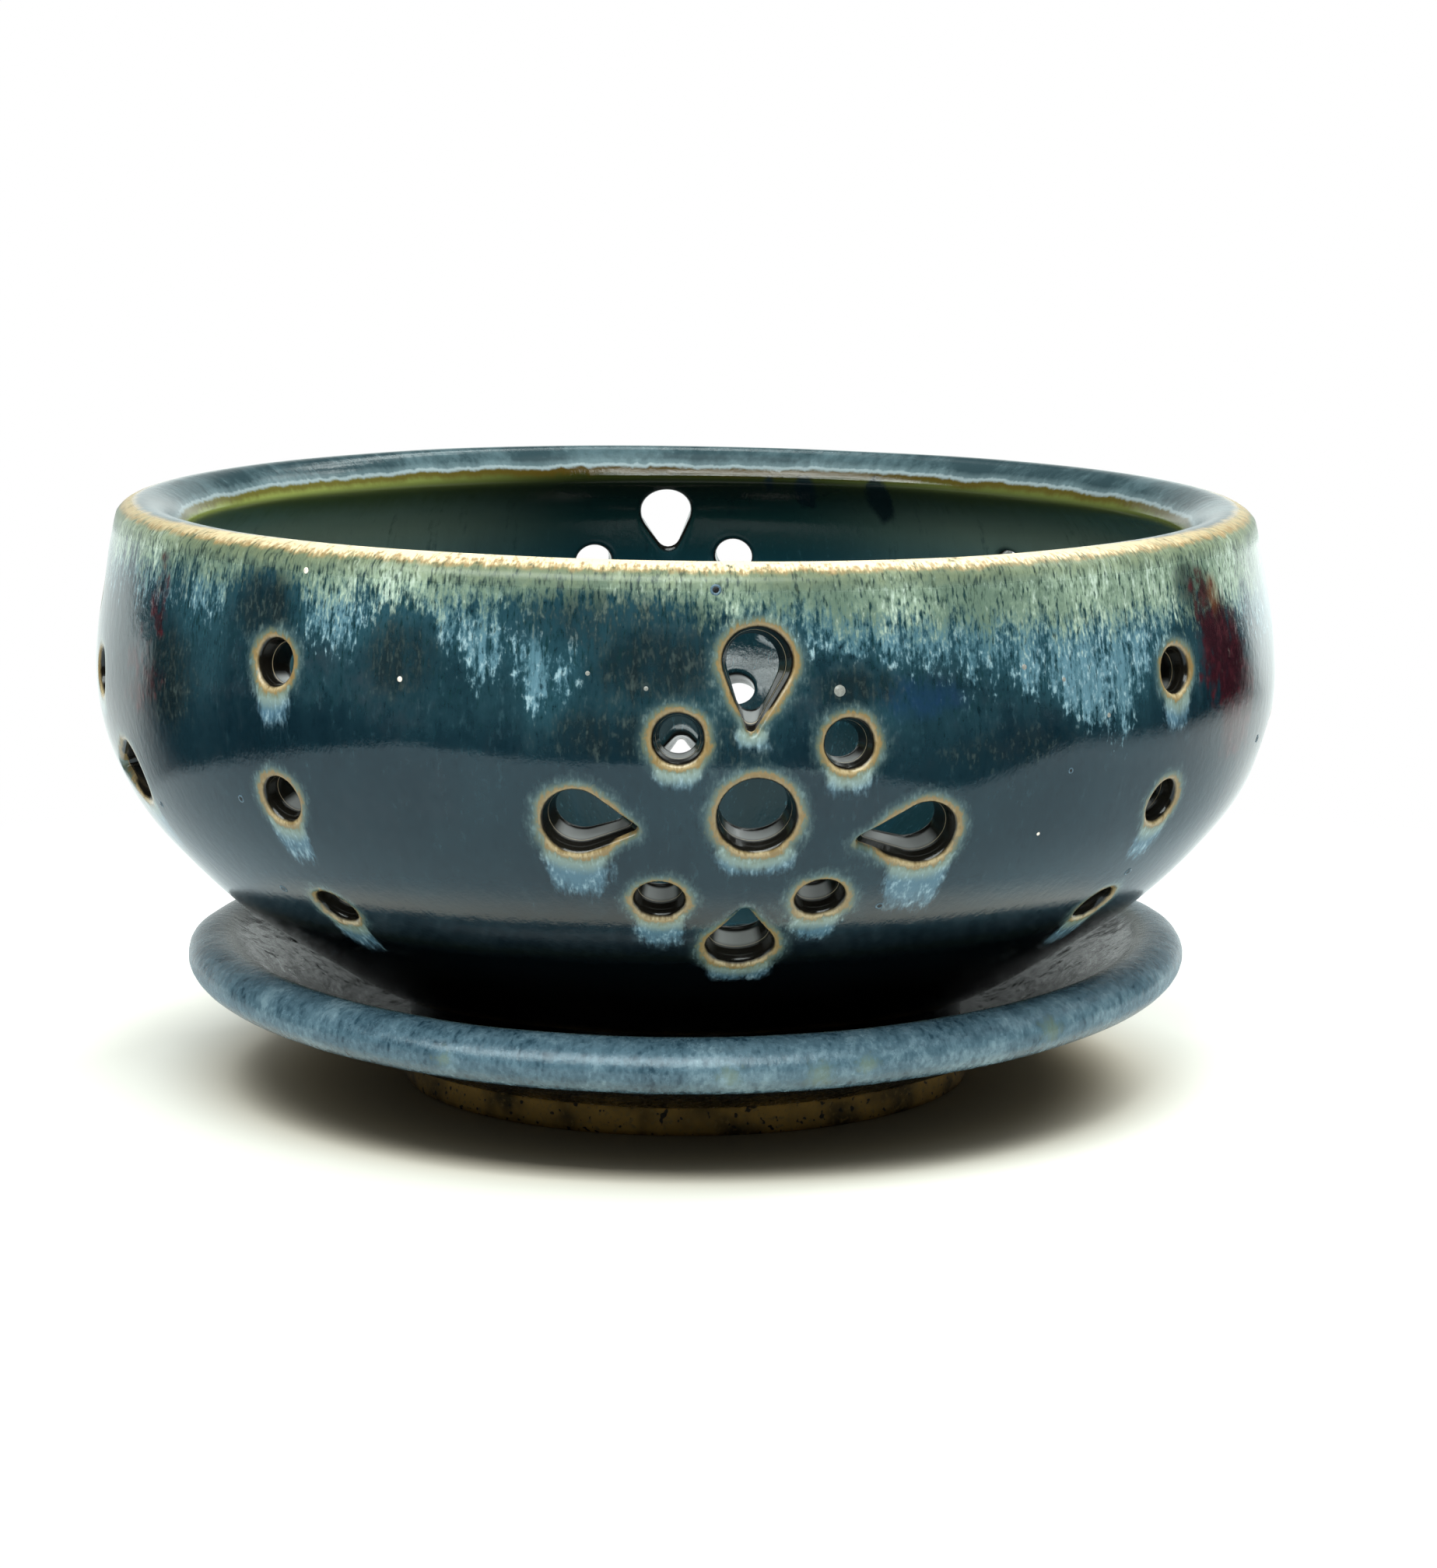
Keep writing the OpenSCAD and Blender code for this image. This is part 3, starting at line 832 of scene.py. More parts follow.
def joined(tree, how, *values):
    """Values combined one after another by one kind of sum."""
    out = values[0]
    for value in values[1:]:
        out = add(tree, "ShaderNodeMath", {0: out, 1: value}, operation=how).outputs[0]
    return out


def summed(tree, *terms):
    """Terms added up, each one a value or a value with its weight."""
    return joined(tree, "ADD", *(
        joined(tree, "MULTIPLY", *term) if isinstance(term, tuple) else term for term in terms))


def fresh(owner):
    """A new material or world with its emptied node tree."""
    owner.use_nodes = True
    owner.node_tree.nodes.clear()
    return owner, owner.node_tree


def coat(tree, colour, rough, ior, height=None, strength=0.0, depth=0.0):
    """The shader that ends a material, with a bump where it has a height."""
    wires = {"Base Color": colour, "Roughness": rough, "IOR": ior}
    if height is not None:
        wires["Normal"] = add(tree, "ShaderNodeBump", {
            "Height": height, "Strength": strength, "Distance": depth}).outputs[0]
    shader = add(tree, "ShaderNodeBsdfPrincipled", wires)
    add(tree, "ShaderNodeOutputMaterial", {0: shader.outputs[0]})


def glazed_stoneware(colours, skin):
    """Reduction-fired stoneware under a glossy rutile glaze: deep blue-black where it lies thick,
    floated pale blue in upright flecks below the rim, sage where it thins, and cream to tan
    where it broke from an edge. It is smooth as glass, so the eye sees the room in it."""
    made, t = fresh(bpy.data.materials.new("glazed_stoneware_rutile_blue"))
    way = add(t, "ShaderNodeAttribute", attribute_name="glaze_way").outputs["Vector"]
    across, (pale_at, ink_at, plum_at), (gap, drip_and_ledge_highlight, tone_at) = (
        add(t, "ShaderNodeSeparateXYZ", {0: add(
            t, "ShaderNodeAttribute", attribute_name=name).outputs["Vector"]}).outputs
        for name in ("glaze_way", "glaze_marks", "glaze_edges"))
    run = across[2]
    corner, crest_at, level = skin.corner_run, skin.crest_run, skin.run_at_height
    # Grain sizes in mm: streaks 0.9 wide and 8 long, flecks 0.4 by 1.0, columns 3 by 24.
    streak = grained(t, way, 0.9, 8.0, 4.0)
    fleck = grained(t, way, 0.42, 1.05, 2.0)
    hair = grained(t, way, 0.36, 2.0, 2.0)
    cloud = grained(t, way, 15.0, 20.0, 3.0)
    mottle = grained(t, way, 1.5, 1.8, 5.0, 0.65)
    column = grained(t, way, 3.0, 24.0, 3.0)
    worn = grained(t, way, 3.6, 3.6, 2.0)
    front = ramp(t, across[1], -30.0, -76.0)
    toward_top = summed(t, run, (joined(t, "SUBTRACT", 1.0, front), 1.5))
    outside = ramp(t, toward_top, crest_at + 0.4, crest_at - 0.6)

    def scattered(density, *grains, soft=0.14):
        """A mask that thins out into flecks where its density falls, as floated glaze does."""
        return ramp(t, summed(t, density, *grains), 0.48 - soft, 0.48 + soft)

    # Dark ground: thick glaze, greener and greyer where it thins, and painted shade that turns it
    # black low on the belly.
    smoky = grained(t, way, 11.0, 9.0, 4.0)
    ground = layered(t, colours.deep, [
        (scattered(0.5, (cloud, 0.4), (column, 0.12), (mottle, 0.15), (fleck, 0.1), soft=0.6),
         colours.teal),
        (ramp(t, summed(t, smoky, mottle), -0.2, 1.6), "#2A3237", 0.5),
        (ramp(t, summed(t, streak, mottle, fleck), 0.4, 2.6), "#466A72", 0.4),
        (scattered(joined(t, "MULTIPLY", pale_at, 0.95), (cloud, 0.2), (mottle, 0.3),
                   (fleck, 0.1), soft=0.3), "#264A54", ramp(t, pale_at, 0.02, 0.2), 0.4),
        (ramp(t, summed(t, hair, mottle, fleck), -0.5, -2.2), "#04161C", 0.8),
        (ramp(t, summed(t, run, (column, 1.6), (cloud, 1.6)), level(65.0), level(58.0)),
         "#081820", 0.6),
        # Painted shade: near black low on the belly, fading in from 39 mm down to 31 mm high.
        (ramp(t, summed(t, run, mottle), level(39.0), level(31.0)), "#020507"),
    ])
    # Pale rutile: where it floated, denser in columns and broken up by dark flecks.
    floated = summed(t, (pale_at, 0.6), (ink_at, -0.6))
    pale_mask = joined(t, "MULTIPLY", scattered(
        floated, (column, 0.24), (streak, 0.22), (fleck, 0.24), (mottle, 0.28), soft=0.18),
        ramp(t, pale_at, 0.02, 0.2), outside, 0.92)
    pale = layered(t, "#3F626C", [
        (ramp(t, summed(t, streak, cloud), -0.6, 1.0), "#567A86"),
        (ramp(t, summed(t, mottle, fleck), 0.1, 1.5), colours.pale),
    ])
    # Sage just under the rim, with dark upright flecks and lighter clouds.
    wide = joined(t, "MULTIPLY", ramp(t, across[0], 0.0, 55.0), 3.5)
    below_rim = joined(t, "MULTIPLY", summed(t, run, 7.2 - corner, wide), 0.105)
    sage_mask = joined(t, "MULTIPLY", scattered(
        summed(t, joined(t, "MINIMUM", below_rim, 0.95), (ink_at, -0.25)),
        (column, 0.2), (streak, 0.24), (fleck, 0.3), (mottle, 0.1), soft=0.3), outside, 0.94)
    sage = layered(t, "#566A5A", [
        (ramp(t, summed(t, cloud, (mottle, 0.7)), -0.7, 1.4), colours.sage),
        (ramp(t, summed(t, streak, fleck, cloud), 0.2, 2.1), "#AFC2B2"),
        (ramp(t, summed(t, hair, fleck), 0.0, -1.4), "#3A4F40", 0.7),
        (ramp(t, summed(t, run, mottle), corner - 0.5, corner + 2.2), "#6E7650", 0.5),
        (ramp(t, run, corner - 3.0, corner), "#2C392B",
         ramp(t, summed(t, fleck, mottle, hair), 0.0, -2.0), 0.8),
    ])
    crack = grained(t, way, 0.5, 1.2, 3.0)
    dark_fleck = joined(
        t, "MULTIPLY", ramp(t, summed(t, hair, crack, (streak, 0.4)), -0.2, -1.2), outside,
        ramp(t, run, corner - 24.0, corner - 7.0),
        summed(t, 0.65, (ramp(t, run, corner + 2.5, corner - 2.0), 0.25)))
    plum_mask = joined(t, "MULTIPLY", scattered(
        plum_at, (column, 0.25), (worn, 0.3), (streak, 0.25), (mottle, 0.4), soft=0.35),
        ramp(t, plum_at, 0.02, 0.2), outside, 0.92)
    plum = layered(t, "#240A10", [
        (ramp(t, mottle, -0.2, 0.9), "#40191F"),
        (ramp(t, summed(t, fleck, streak), 0.9, 1.8), "#6B635C"),
    ])
    cobalt_mask = joined(t, "MULTIPLY", ramp(t, summed(t, tone_at, (mottle, 0.3)), 0.2, 1.2), 0.75)
    rust_mask = joined(t, "MULTIPLY", ramp(t, summed(t, tone_at, (streak, 0.2)), -0.25, -0.9), 0.5)

    # Inside: a slate slope, a thin frosted line where it breaks over the lip, an olive band
    # under it and dark teal below.
    wavy = summed(t, run, (column, 0.2), (mottle, 0.25), (cloud, 0.4))
    edge = skin.break_run - 0.8
    slope = layered(t, "#283A3E", [
        (ramp(t, summed(t, mottle, cloud, cloud), -1.0, 1.8), "#465B5F"),
        (ramp(t, summed(t, streak, mottle), 0.6, 2.2), "#6F8687", 0.4),
        (ramp(t, wavy, edge - 1.8, edge - 0.5), "#71888B", 0.35),
        (ramp(t, wavy, edge - 0.6, edge - 0.2), "#9DAFB0", 0.5),
    ])
    inside = ramp(t, wavy, edge - 0.1, edge + 0.5)
    # Painted light: the olive, green and teal inside are mixed much lighter towards the left and
    # half as much towards the right, as light falls on them.
    side = joined(t, "MAXIMUM", ramp(t, across[0], -15.0, -74.0),
                  joined(t, "MULTIPLY", ramp(t, across[0], 15.0, 74.0), 0.5))
    olive = layered(t, "#20270B", [(side, "#7F8D4A")])
    green = layered(t, "#1C3C38", [(side, "#B8CEB2")])
    deep = layered(t, "#10363F", [(side, "#5C9096")])
    cavity = layered(t, "#0F2428", [
        # Painted shade: from 18 to 36 mm below the lip the teal gives way to a darker, greyer base
        # further down inside.
        (ramp(t, wavy, edge + 36.0, edge + 18.0), deep),
        (scattered(0.3, (column, 0.2), (cloud, 0.3), soft=0.4), "#10303B", 0.7),
        (ramp(t, summed(t, streak, fleck, mottle), 0.4, 2.6), "#3F6872", 0.4),
        (ramp(t, wavy, edge + 20.0, edge + 8.0), green),
        (ramp(t, summed(t, streak, mottle, column), -0.4, -2.6), "#0B232B", 0.6),
        (ramp(t, wavy, edge + 9.0, edge + 3.0), olive),
        (ramp(t, wavy, edge + 1.9, edge + 0.7), "#43330C", 0.75),
    ])
    colour = layered(t, ground, [
        (cobalt_mask, "#0F2A4A"),
        (pale_mask, pale),
        (sage_mask, sage),
        (dark_fleck, "#102A2D"),
        (ramp(t, summed(t, ink_at, (fleck, 0.3), (mottle, 0.3), (streak, 0.25), (column, 0.25)),
              0.2, 1.3),
         layered(t, "#10191B", [(ramp(t, summed(t, mottle, fleck), -0.4, 1.8), "#3A4643")]),
         ramp(t, ink_at, 0.02, 0.3), outside, 0.9),
        (plum_mask, plum),
        (rust_mask, "#724A2A"),
        (joined(t, "SUBTRACT", 1.0, outside), slope),
        (inside, cavity),
        (ramp(t, summed(t, ink_at, (mottle, 0.12)), 0.3, 0.75), "#0A171E",
         ramp(t, run, edge - 1.5, edge - 0.5), 0.85),
    ])
    # Around each hole: a thin halo of flecks, a run of pale glaze below, then the broken edge.
    near = summed(t, gap, (mottle, 0.4), 0.36, (fleck, 0.28), (drip_and_ledge_highlight, -0.2), (worn, 0.3))
    open_air = joined(t, "SUBTRACT", 1.0, inside)
    halo = joined(t, "MULTIPLY", scattered(
        joined(t, "MULTIPLY", joined(t, "SUBTRACT", 3.7, near), 0.28),
        (fleck, 0.14), (mottle, 0.2), soft=0.36), open_air, 0.62)
    fallen = joined(t, "MULTIPLY", scattered(
        drip_and_ledge_highlight, (streak, 0.2), (fleck, 0.22), (mottle, 0.2), (column, 0.16), soft=0.42),
        ramp(t, drip_and_ledge_highlight, 0.02, 0.6), 0.85)
    fallen_colour = layered(t, "#4A6B7B", [
        (ramp(t, summed(t, mottle, fleck), -0.2, 1.6), "#86A3AD"),
        (ramp(t, near, 3.8, 1.6), "#8C9C88", 0.6),
    ])
    halo_colour = layered(t, "#465E60", [
        (ramp(t, summed(t, fleck, mottle), -0.4, 1.4), "#728B88"),
    ])
    # Painted highlight: light grey on the ledge at the bottom of each cut, carried with the drips.
    ledge_highlight = joined(t, "MULTIPLY", ramp(t, gap, -0.2, -0.6), drip_and_ledge_highlight)
    colour = layered(t, colour, [
        (halo, halo_colour),
        (fallen, fallen_colour, open_air),
        (ramp(t, near, 2.0, 1.2), "#626B55", open_air, 0.65),
        (ramp(t, near, 1.4, 0.95), colours.tan, open_air, 0.85),
        (ramp(t, near, 1.2, 0.7), colours.cream, open_air,
         ramp(t, summed(t, worn, mottle, fleck), -1.4, 1.4), summed(t, 0.4, (drip_and_ledge_highlight, 0.5))),
        # Painted shade: the walls of each cut, inside its rounded edge, near black.
        (ramp(t, summed(t, gap, (worn, 0.08)), 0.42, 0.1), "#12110D"),
        (ledge_highlight, "#858B89"),
    ])
    # The rim's own edge: cream at the front, tan and thinner towards the sides. The cream is
    # partly broken glaze and partly a painted highlight, strongest at the front.
    crest = summed(t, run, (mottle, 0.32), (column, 0.4))
    inner = summed(t, crest, joined(t, "SUBTRACT", toward_top, run))
    rim_tan = joined(t, "MULTIPLY", ramp(t, crest, corner + 1.8, corner + 2.8),
                     ramp(t, inner, crest_at + 0.9, crest_at - 0.3),
                     ramp(t, summed(t, fleck, streak, mottle), -1.6, 0.6), 0.75)
    rim_cream_and_highlight = joined(
        t, "MULTIPLY", ramp(t, summed(t, crest, (fleck, 0.35)), corner + 2.3, corner + 3.2),
        ramp(t, inner, crest_at + 1.0, crest_at - 0.2), summed(t, 0.2, (front, 0.78)),
        ramp(t, summed(t, worn, fleck), -1.5, -0.2))
    colour = layered(t, colour, [
        (rim_tan, "#A08A5C"),
        (rim_cream_and_highlight, "#DDD0A8"),
        (joined(t, "MAXIMUM", rim_tan, rim_cream_and_highlight), "#7D6134",
         ramp(t, summed(t, crack, fleck, (ramp(t, crest, corner + 5.0, corner + 2.0), -1.3)),
              -0.3, -1.6), 0.85),
    ])

    rough = summed(
        t, 0.035, (pale_mask, 0.08), (ramp(t, gap, 1.6, 0.6), 0.14),
        joined(t, "MULTIPLY", ramp(t, run, corner - 1.5, corner + 0.5), outside, 0.3),
        (mottle, 0.01))
    skin_bump = summed(t, (mottle, 0.5), (pale_mask, 0.5))
    coat(t, colour, rough, 1.6, skin_bump, 0.35, 0.00006)
    return made


def saucer_glaze(marks):
    """The same glaze on the saucer: slate blue with fine streaks on the rolled lip, where it
    floated, and almost black in the well, where it pooled."""
    made, t = fresh(bpy.data.materials.new("glazed_stoneware_slate_blue"))
    way = add(t, "ShaderNodeAttribute", attribute_name="glaze_way").outputs["Vector"]
    across = add(t, "ShaderNodeSeparateXYZ", {0: way}).outputs
    run = across[2]
    lip_low, lip_in = marks["lip_low"], marks["lip_in"]
    streak = grained(t, way, 0.8, 5.0, 4.0)
    fleck = grained(t, way, 0.6, 1.0, 3.0)
    cloud = grained(t, way, 9.0, 7.0, 3.0)
    mottle = grained(t, way, 1.7, 1.9, 5.0, 0.65)
    frost = summed(t, mottle, (fleck, 0.8), (cloud, 0.8))
    lip = layered(t, "#324C58", [
        (ramp(t, frost, -1.2, 0.8), "#4C6874"),
        (ramp(t, summed(t, frost, cloud), 0.2, 2.8), "#7C979F", 0.8),
        (ramp(t, summed(t, fleck, mottle, cloud, streak), -0.5, -1.9), "#17323F", 0.85),
    ])
    # Spots of sage on the lip: sideways from the front and along the run, and width, in mm.
    lip_r = 70.0
    for x, along, wide in ((5.7, 0.3, 2.2), (17.4, 0.0, 2.6), (23.3, 0.6, 1.8), (-31.0, 0.6, 1.6),
                           (48.0, 1.0, 2.4)):
        spot = (x, -math.sqrt(lip_r ** 2 - x ** 2), marks["lip_mid"] + along)
        away = add(t, "ShaderNodeVectorMath", {0: way, 1: spot}, operation="DISTANCE")
        lip = layered(t, lip, [
            (ramp(t, summed(t, away.outputs["Value"], mottle, fleck), wide, 0.0), "#7E8E68", 0.3),
        ])
    wavy = summed(t, run, (streak, 0.35), (mottle, 0.4), (fleck, 0.35))
    ragged = summed(t, wavy, mottle, fleck)
    low_edge = joined(t, "MULTIPLY", ramp(t, ragged, lip_low + 7.0, lip_low + 4.2), 0.85)
    # Painted shade: the underside below the lip, from its lower edge down to the foot, near black.
    under = ramp(t, ragged, lip_low + 4.2, lip_low + 3.0)
    pool = ramp(t, wavy, lip_in - 1.6, lip_in + 0.6)
    edge_line = joined(t, "MULTIPLY", ramp(t, wavy, lip_in - 3.6, lip_in - 1.8),
                       ramp(t, wavy, lip_in + 0.2, lip_in - 1.4), 0.8)
    # Painted reflection: pale grey slashes in the well near the lip, at its left and right ends.
    reflection_slash = grained(t, way, 9.0, 1.6, 3.0)
    well = layered(t, "#070C11", [
        (ramp(t, mottle, 0.2, 1.2), "#1C3038", 0.4),
        (ramp(t, summed(t, reflection_slash, cloud), 0.3, 1.1), "#9AA5A1",
         ramp(t, joined(t, "ABSOLUTE", across[0], 0.0), 42.0, 58.0),
         ramp(t, run, lip_in + 11.0, lip_in + 4.0), 0.55),
    ])
    colour = layered(t, lip, [(low_edge, "#173543"), (under, "#080E11"), (edge_line, "#3C4A38"),
                              (pool, well)])
    rough = summed(t, 0.27, (mottle, 0.02), (pool, -0.21))
    sway = joined(t, "MULTIPLY", grained(t, way, 12.0, 3.0, 2.0), pool, 9.0)
    coat(t, colour, rough, 1.62, summed(t, mottle, sway), 0.4, 0.00008)
    return made


def bare_stoneware(colours):
    """Unglazed stoneware as it leaves the kiln: toasted brown, dry and slightly sandy, with dark
    iron specks and pale grog. It gives the eye a matt band under the shine. Both pieces share
    it, so it is made once."""
    if found := bpy.data.materials.get("bare_stoneware_toasted"):
        return found
    made, t = fresh(bpy.data.materials.new("bare_stoneware_toasted"))
    place = add(t, "ShaderNodeTexCoord").outputs["Object"]
    # Noise of 0.6 mm for grog, 0.9 mm for iron specks about half that wide, 9 mm for toasting.
    grog, iron, toast = (
        add(t, "ShaderNodeTexNoise", {"Vector": place, "Scale": 1 / grain, "Detail": detail}
            ).outputs[0] for grain, detail in ((0.0006, 4.0), (0.0009, 1.0), (0.009, 3.0)))
    colour = layered(t, colours.clay, [
        (ramp(t, toast, 0.4, 0.65), "#40330F"),
        (ramp(t, grog, 0.52, 0.7), "#7C6636"),
        (ramp(t, iron, 0.36, 0.3), "#231910"),
    ])
    coat(t, colour, 0.78, 1.5, grog, 0.6, 0.00012)
    return made


def kiln_mark_material(name, note, code, rough):
    """A speck, pit or blob that the firing left in the glaze."""
    made, t = fresh(bpy.data.materials.new(name))
    place = add(t, "ShaderNodeTexCoord").outputs["Object"]
    grain = add(t, "ShaderNodeTexNoise", {"Vector": place, "Scale": 1 / 0.0003, "Detail": 2.0})
    dark = tuple(c * note for c in paint(code))
    colour = layered(t, code, [(ramp(t, grain.outputs[0], 0.4, 0.65), dark)])
    coat(t, colour, rough, 1.62)
    return made


def saucer_outline(sizes):
    """The saucer's turned outline in mm, from its underside's middle round to its well's middle,
    with the runs at which the glaze changes."""
    s = {k: getattr(sizes, k) / MM for k in (
        "saucer_width", "saucer_height", "lip_width", "lip_height", "saucer_floor",
        "saucer_hollow", "saucer_foot", "saucer_foot_height", "saucer_foot_ring", "well_play",
        "foot_width")}
    seat = s["saucer_hollow"] + s["saucer_floor"]
    foot, ring = s["saucer_foot"] / 2, s["saucer_foot_ring"]
    well = np.array([s["foot_width"] / 2 + s["well_play"], seat])
    middle = np.array([s["saucer_width"] / 2 - s["lip_width"] / 2,
                       s["saucer_height"] - s["lip_height"] / 2])
    top = np.array([foot, s["saucer_foot_height"]])
    lip = [(middle[0] + math.cos(math.radians(a)) * s["lip_width"] / 2,
            middle[1] + math.sin(math.radians(a)) * s["lip_height"] / 2)
           for a in range(-130, 141, 30)]
    under = [tuple(top + (middle - top) * np.array(u)) for u in reversed(UNDER_SHARES)]
    inside = [tuple(well + (middle - well) * np.array(w)) for w in reversed(WELL_SHARES)]
    curve = smooth_line([tuple(top)] + under + lip + inside + [tuple(well)], 8)
    bare = eased([(0.0, s["saucer_hollow"]), (foot - ring, s["saucer_hollow"]),
                  (foot - ring, 0.0), (foot, 0.0), tuple(top)], FOOT_EASE)
    line = np.array(bare[:-1] + [tuple(p) for p in curve] + [(0.0, seat)])
    run = runs_of(line)
    start = len(bare) - 1
    spots = {"glaze": run[start], "lip_low": run[start + (1 + len(under)) * 8],
             "lip_mid": run[start + (5 + len(under)) * 8],
             "lip_in": run[start + (len(under) + len(lip)) * 8]}
    return line, spots


def turning_tree(material, bare):
    """A node group that turns an outline curve about the upright axis, warps it a little and
    stores where each point lies on the glaze."""
    tree = bpy.data.node_groups.new("turn_outline", "GeometryNodeTree")
    face = tree.interface
    face.new_socket("Outline", in_out="INPUT", socket_type="NodeSocketGeometry")
    for name, kind, value in (("Sides", "NodeSocketInt", 256), ("Rings", "NodeSocketInt", 180),
                              ("Warp", "NodeSocketFloat", 0.001),
                              ("Waves", "NodeSocketFloat", 0.0001),
                              ("Lip Radius", "NodeSocketFloat", 0.07),
                              ("Glaze From", "NodeSocketFloat", 0.06),
                              ("Seed", "NodeSocketInt", 7)):
        socket = face.new_socket(name, in_out="INPUT", socket_type=kind)
        socket.default_value = value
    face.new_socket("Geometry", in_out="OUTPUT", socket_type="NodeSocketGeometry")
    given = add(tree, "NodeGroupInput").outputs
    grid = add(tree, "GeometryNodeMeshGrid", {
        "Size X": 1.0, "Size Y": 1.0, "Vertices X": summed(tree, given["Sides"], 1),
        "Vertices Y": summed(tree, given["Rings"], 1)})
    spot = add(tree, "ShaderNodeSeparateXYZ", {0: grid.outputs["UV Map"]}).outputs
    turn, part = joined(tree, "MULTIPLY", spot[0], 2 * math.pi), spot[1]
    sample = add(tree, "GeometryNodeSampleCurve", {"Curves": given["Outline"], "Factor": part},
                 mode="FACTOR")
    at = add(tree, "ShaderNodeSeparateXYZ", {0: sample.outputs["Position"]}).outputs
    length = add(tree, "GeometryNodeCurveLength", {0: given["Outline"]}).outputs[0]
    run = joined(tree, "MULTIPLY", part, length)
    sine, cosine, twice = (
        add(tree, "ShaderNodeMath", {0: angle}, operation=kind).outputs[0]
        for angle, kind in ((turn, "SINE"), (turn, "COSINE"),
                            (joined(tree, "MULTIPLY", turn, 2.0), "COSINE")))
    # The lip lies low at the front and back and high at the sides, as a dried saucer warps.
    share = joined(tree, "DIVIDE", at[0], given["Lip Radius"])
    grown = joined(tree, "MULTIPLY", share, share, share, share)
    lift = joined(tree, "MULTIPLY", grown, given["Warp"],
                  summed(tree, (twice, -1.0), (cosine, -0.25)))
    flat = add(tree, "ShaderNodeCombineXYZ", {
        0: joined(tree, "MULTIPLY", at[0], sine),
        1: joined(tree, "MULTIPLY", at[0], cosine, -1.0),
        2: summed(tree, at[2], lift)}).outputs[0]
    wave = add(tree, "ShaderNodeTexNoise", {
        "Vector": flat, "W": given["Seed"], "Scale": 55.0, "Detail": 1.0},
        noise_dimensions="4D").outputs[0]
    rise = joined(tree, "MULTIPLY", joined(tree, "SUBTRACT", wave, 0.5), given["Waves"], grown)
    normal = add(tree, "ShaderNodeCombineXYZ", {
        0: joined(tree, "MULTIPLY", sine, rise), 1: joined(tree, "MULTIPLY", cosine, rise, -1.0),
        2: rise}).outputs[0]
    moved = add(tree, "GeometryNodeSetPosition", {
        "Geometry": grid.outputs["Mesh"],
        "Position": add(tree, "ShaderNodeVectorMath", {0: flat, 1: normal},
                        operation="ADD").outputs[0]})
    to_mm = 1 / MM
    around = joined(tree, "MULTIPLY", given["Lip Radius"], to_mm)
    way = add(tree, "ShaderNodeCombineXYZ", {
        0: joined(tree, "MULTIPLY", sine, around), 1: joined(tree, "MULTIPLY", cosine, around, -1),
        2: joined(tree, "MULTIPLY", run, to_mm)}).outputs[0]
    named = add(tree, "GeometryNodeStoreNamedAttribute", {
        "Geometry": moved.outputs[0], "Name": "glaze_way", "Value": way},
        data_type="FLOAT_VECTOR", domain="POINT")
    bare_part = add(tree, "FunctionNodeCompare", {"A": run, "B": given["Glaze From"]},
                    data_type="FLOAT", operation="LESS_THAN").outputs[0]
    glazed = add(tree, "GeometryNodeSetMaterial", {
        "Geometry": named.outputs[0], "Material": material})
    clay = add(tree, "GeometryNodeSetMaterial", {
        "Geometry": glazed.outputs[0], "Selection": bare_part, "Material": bare})
    closed = add(tree, "GeometryNodeMergeByDistance", {
        "Geometry": clay.outputs[0], "Distance": 0.000002})
    smooth = add(tree, "GeometryNodeSetShadeSmooth", {"Geometry": closed.outputs[0]})
    real = add(tree, "GeometryNodeRealizeInstances", {"Geometry": smooth.outputs[0]})
    add(tree, "NodeGroupOutput", {0: real.outputs[0]})
    return tree


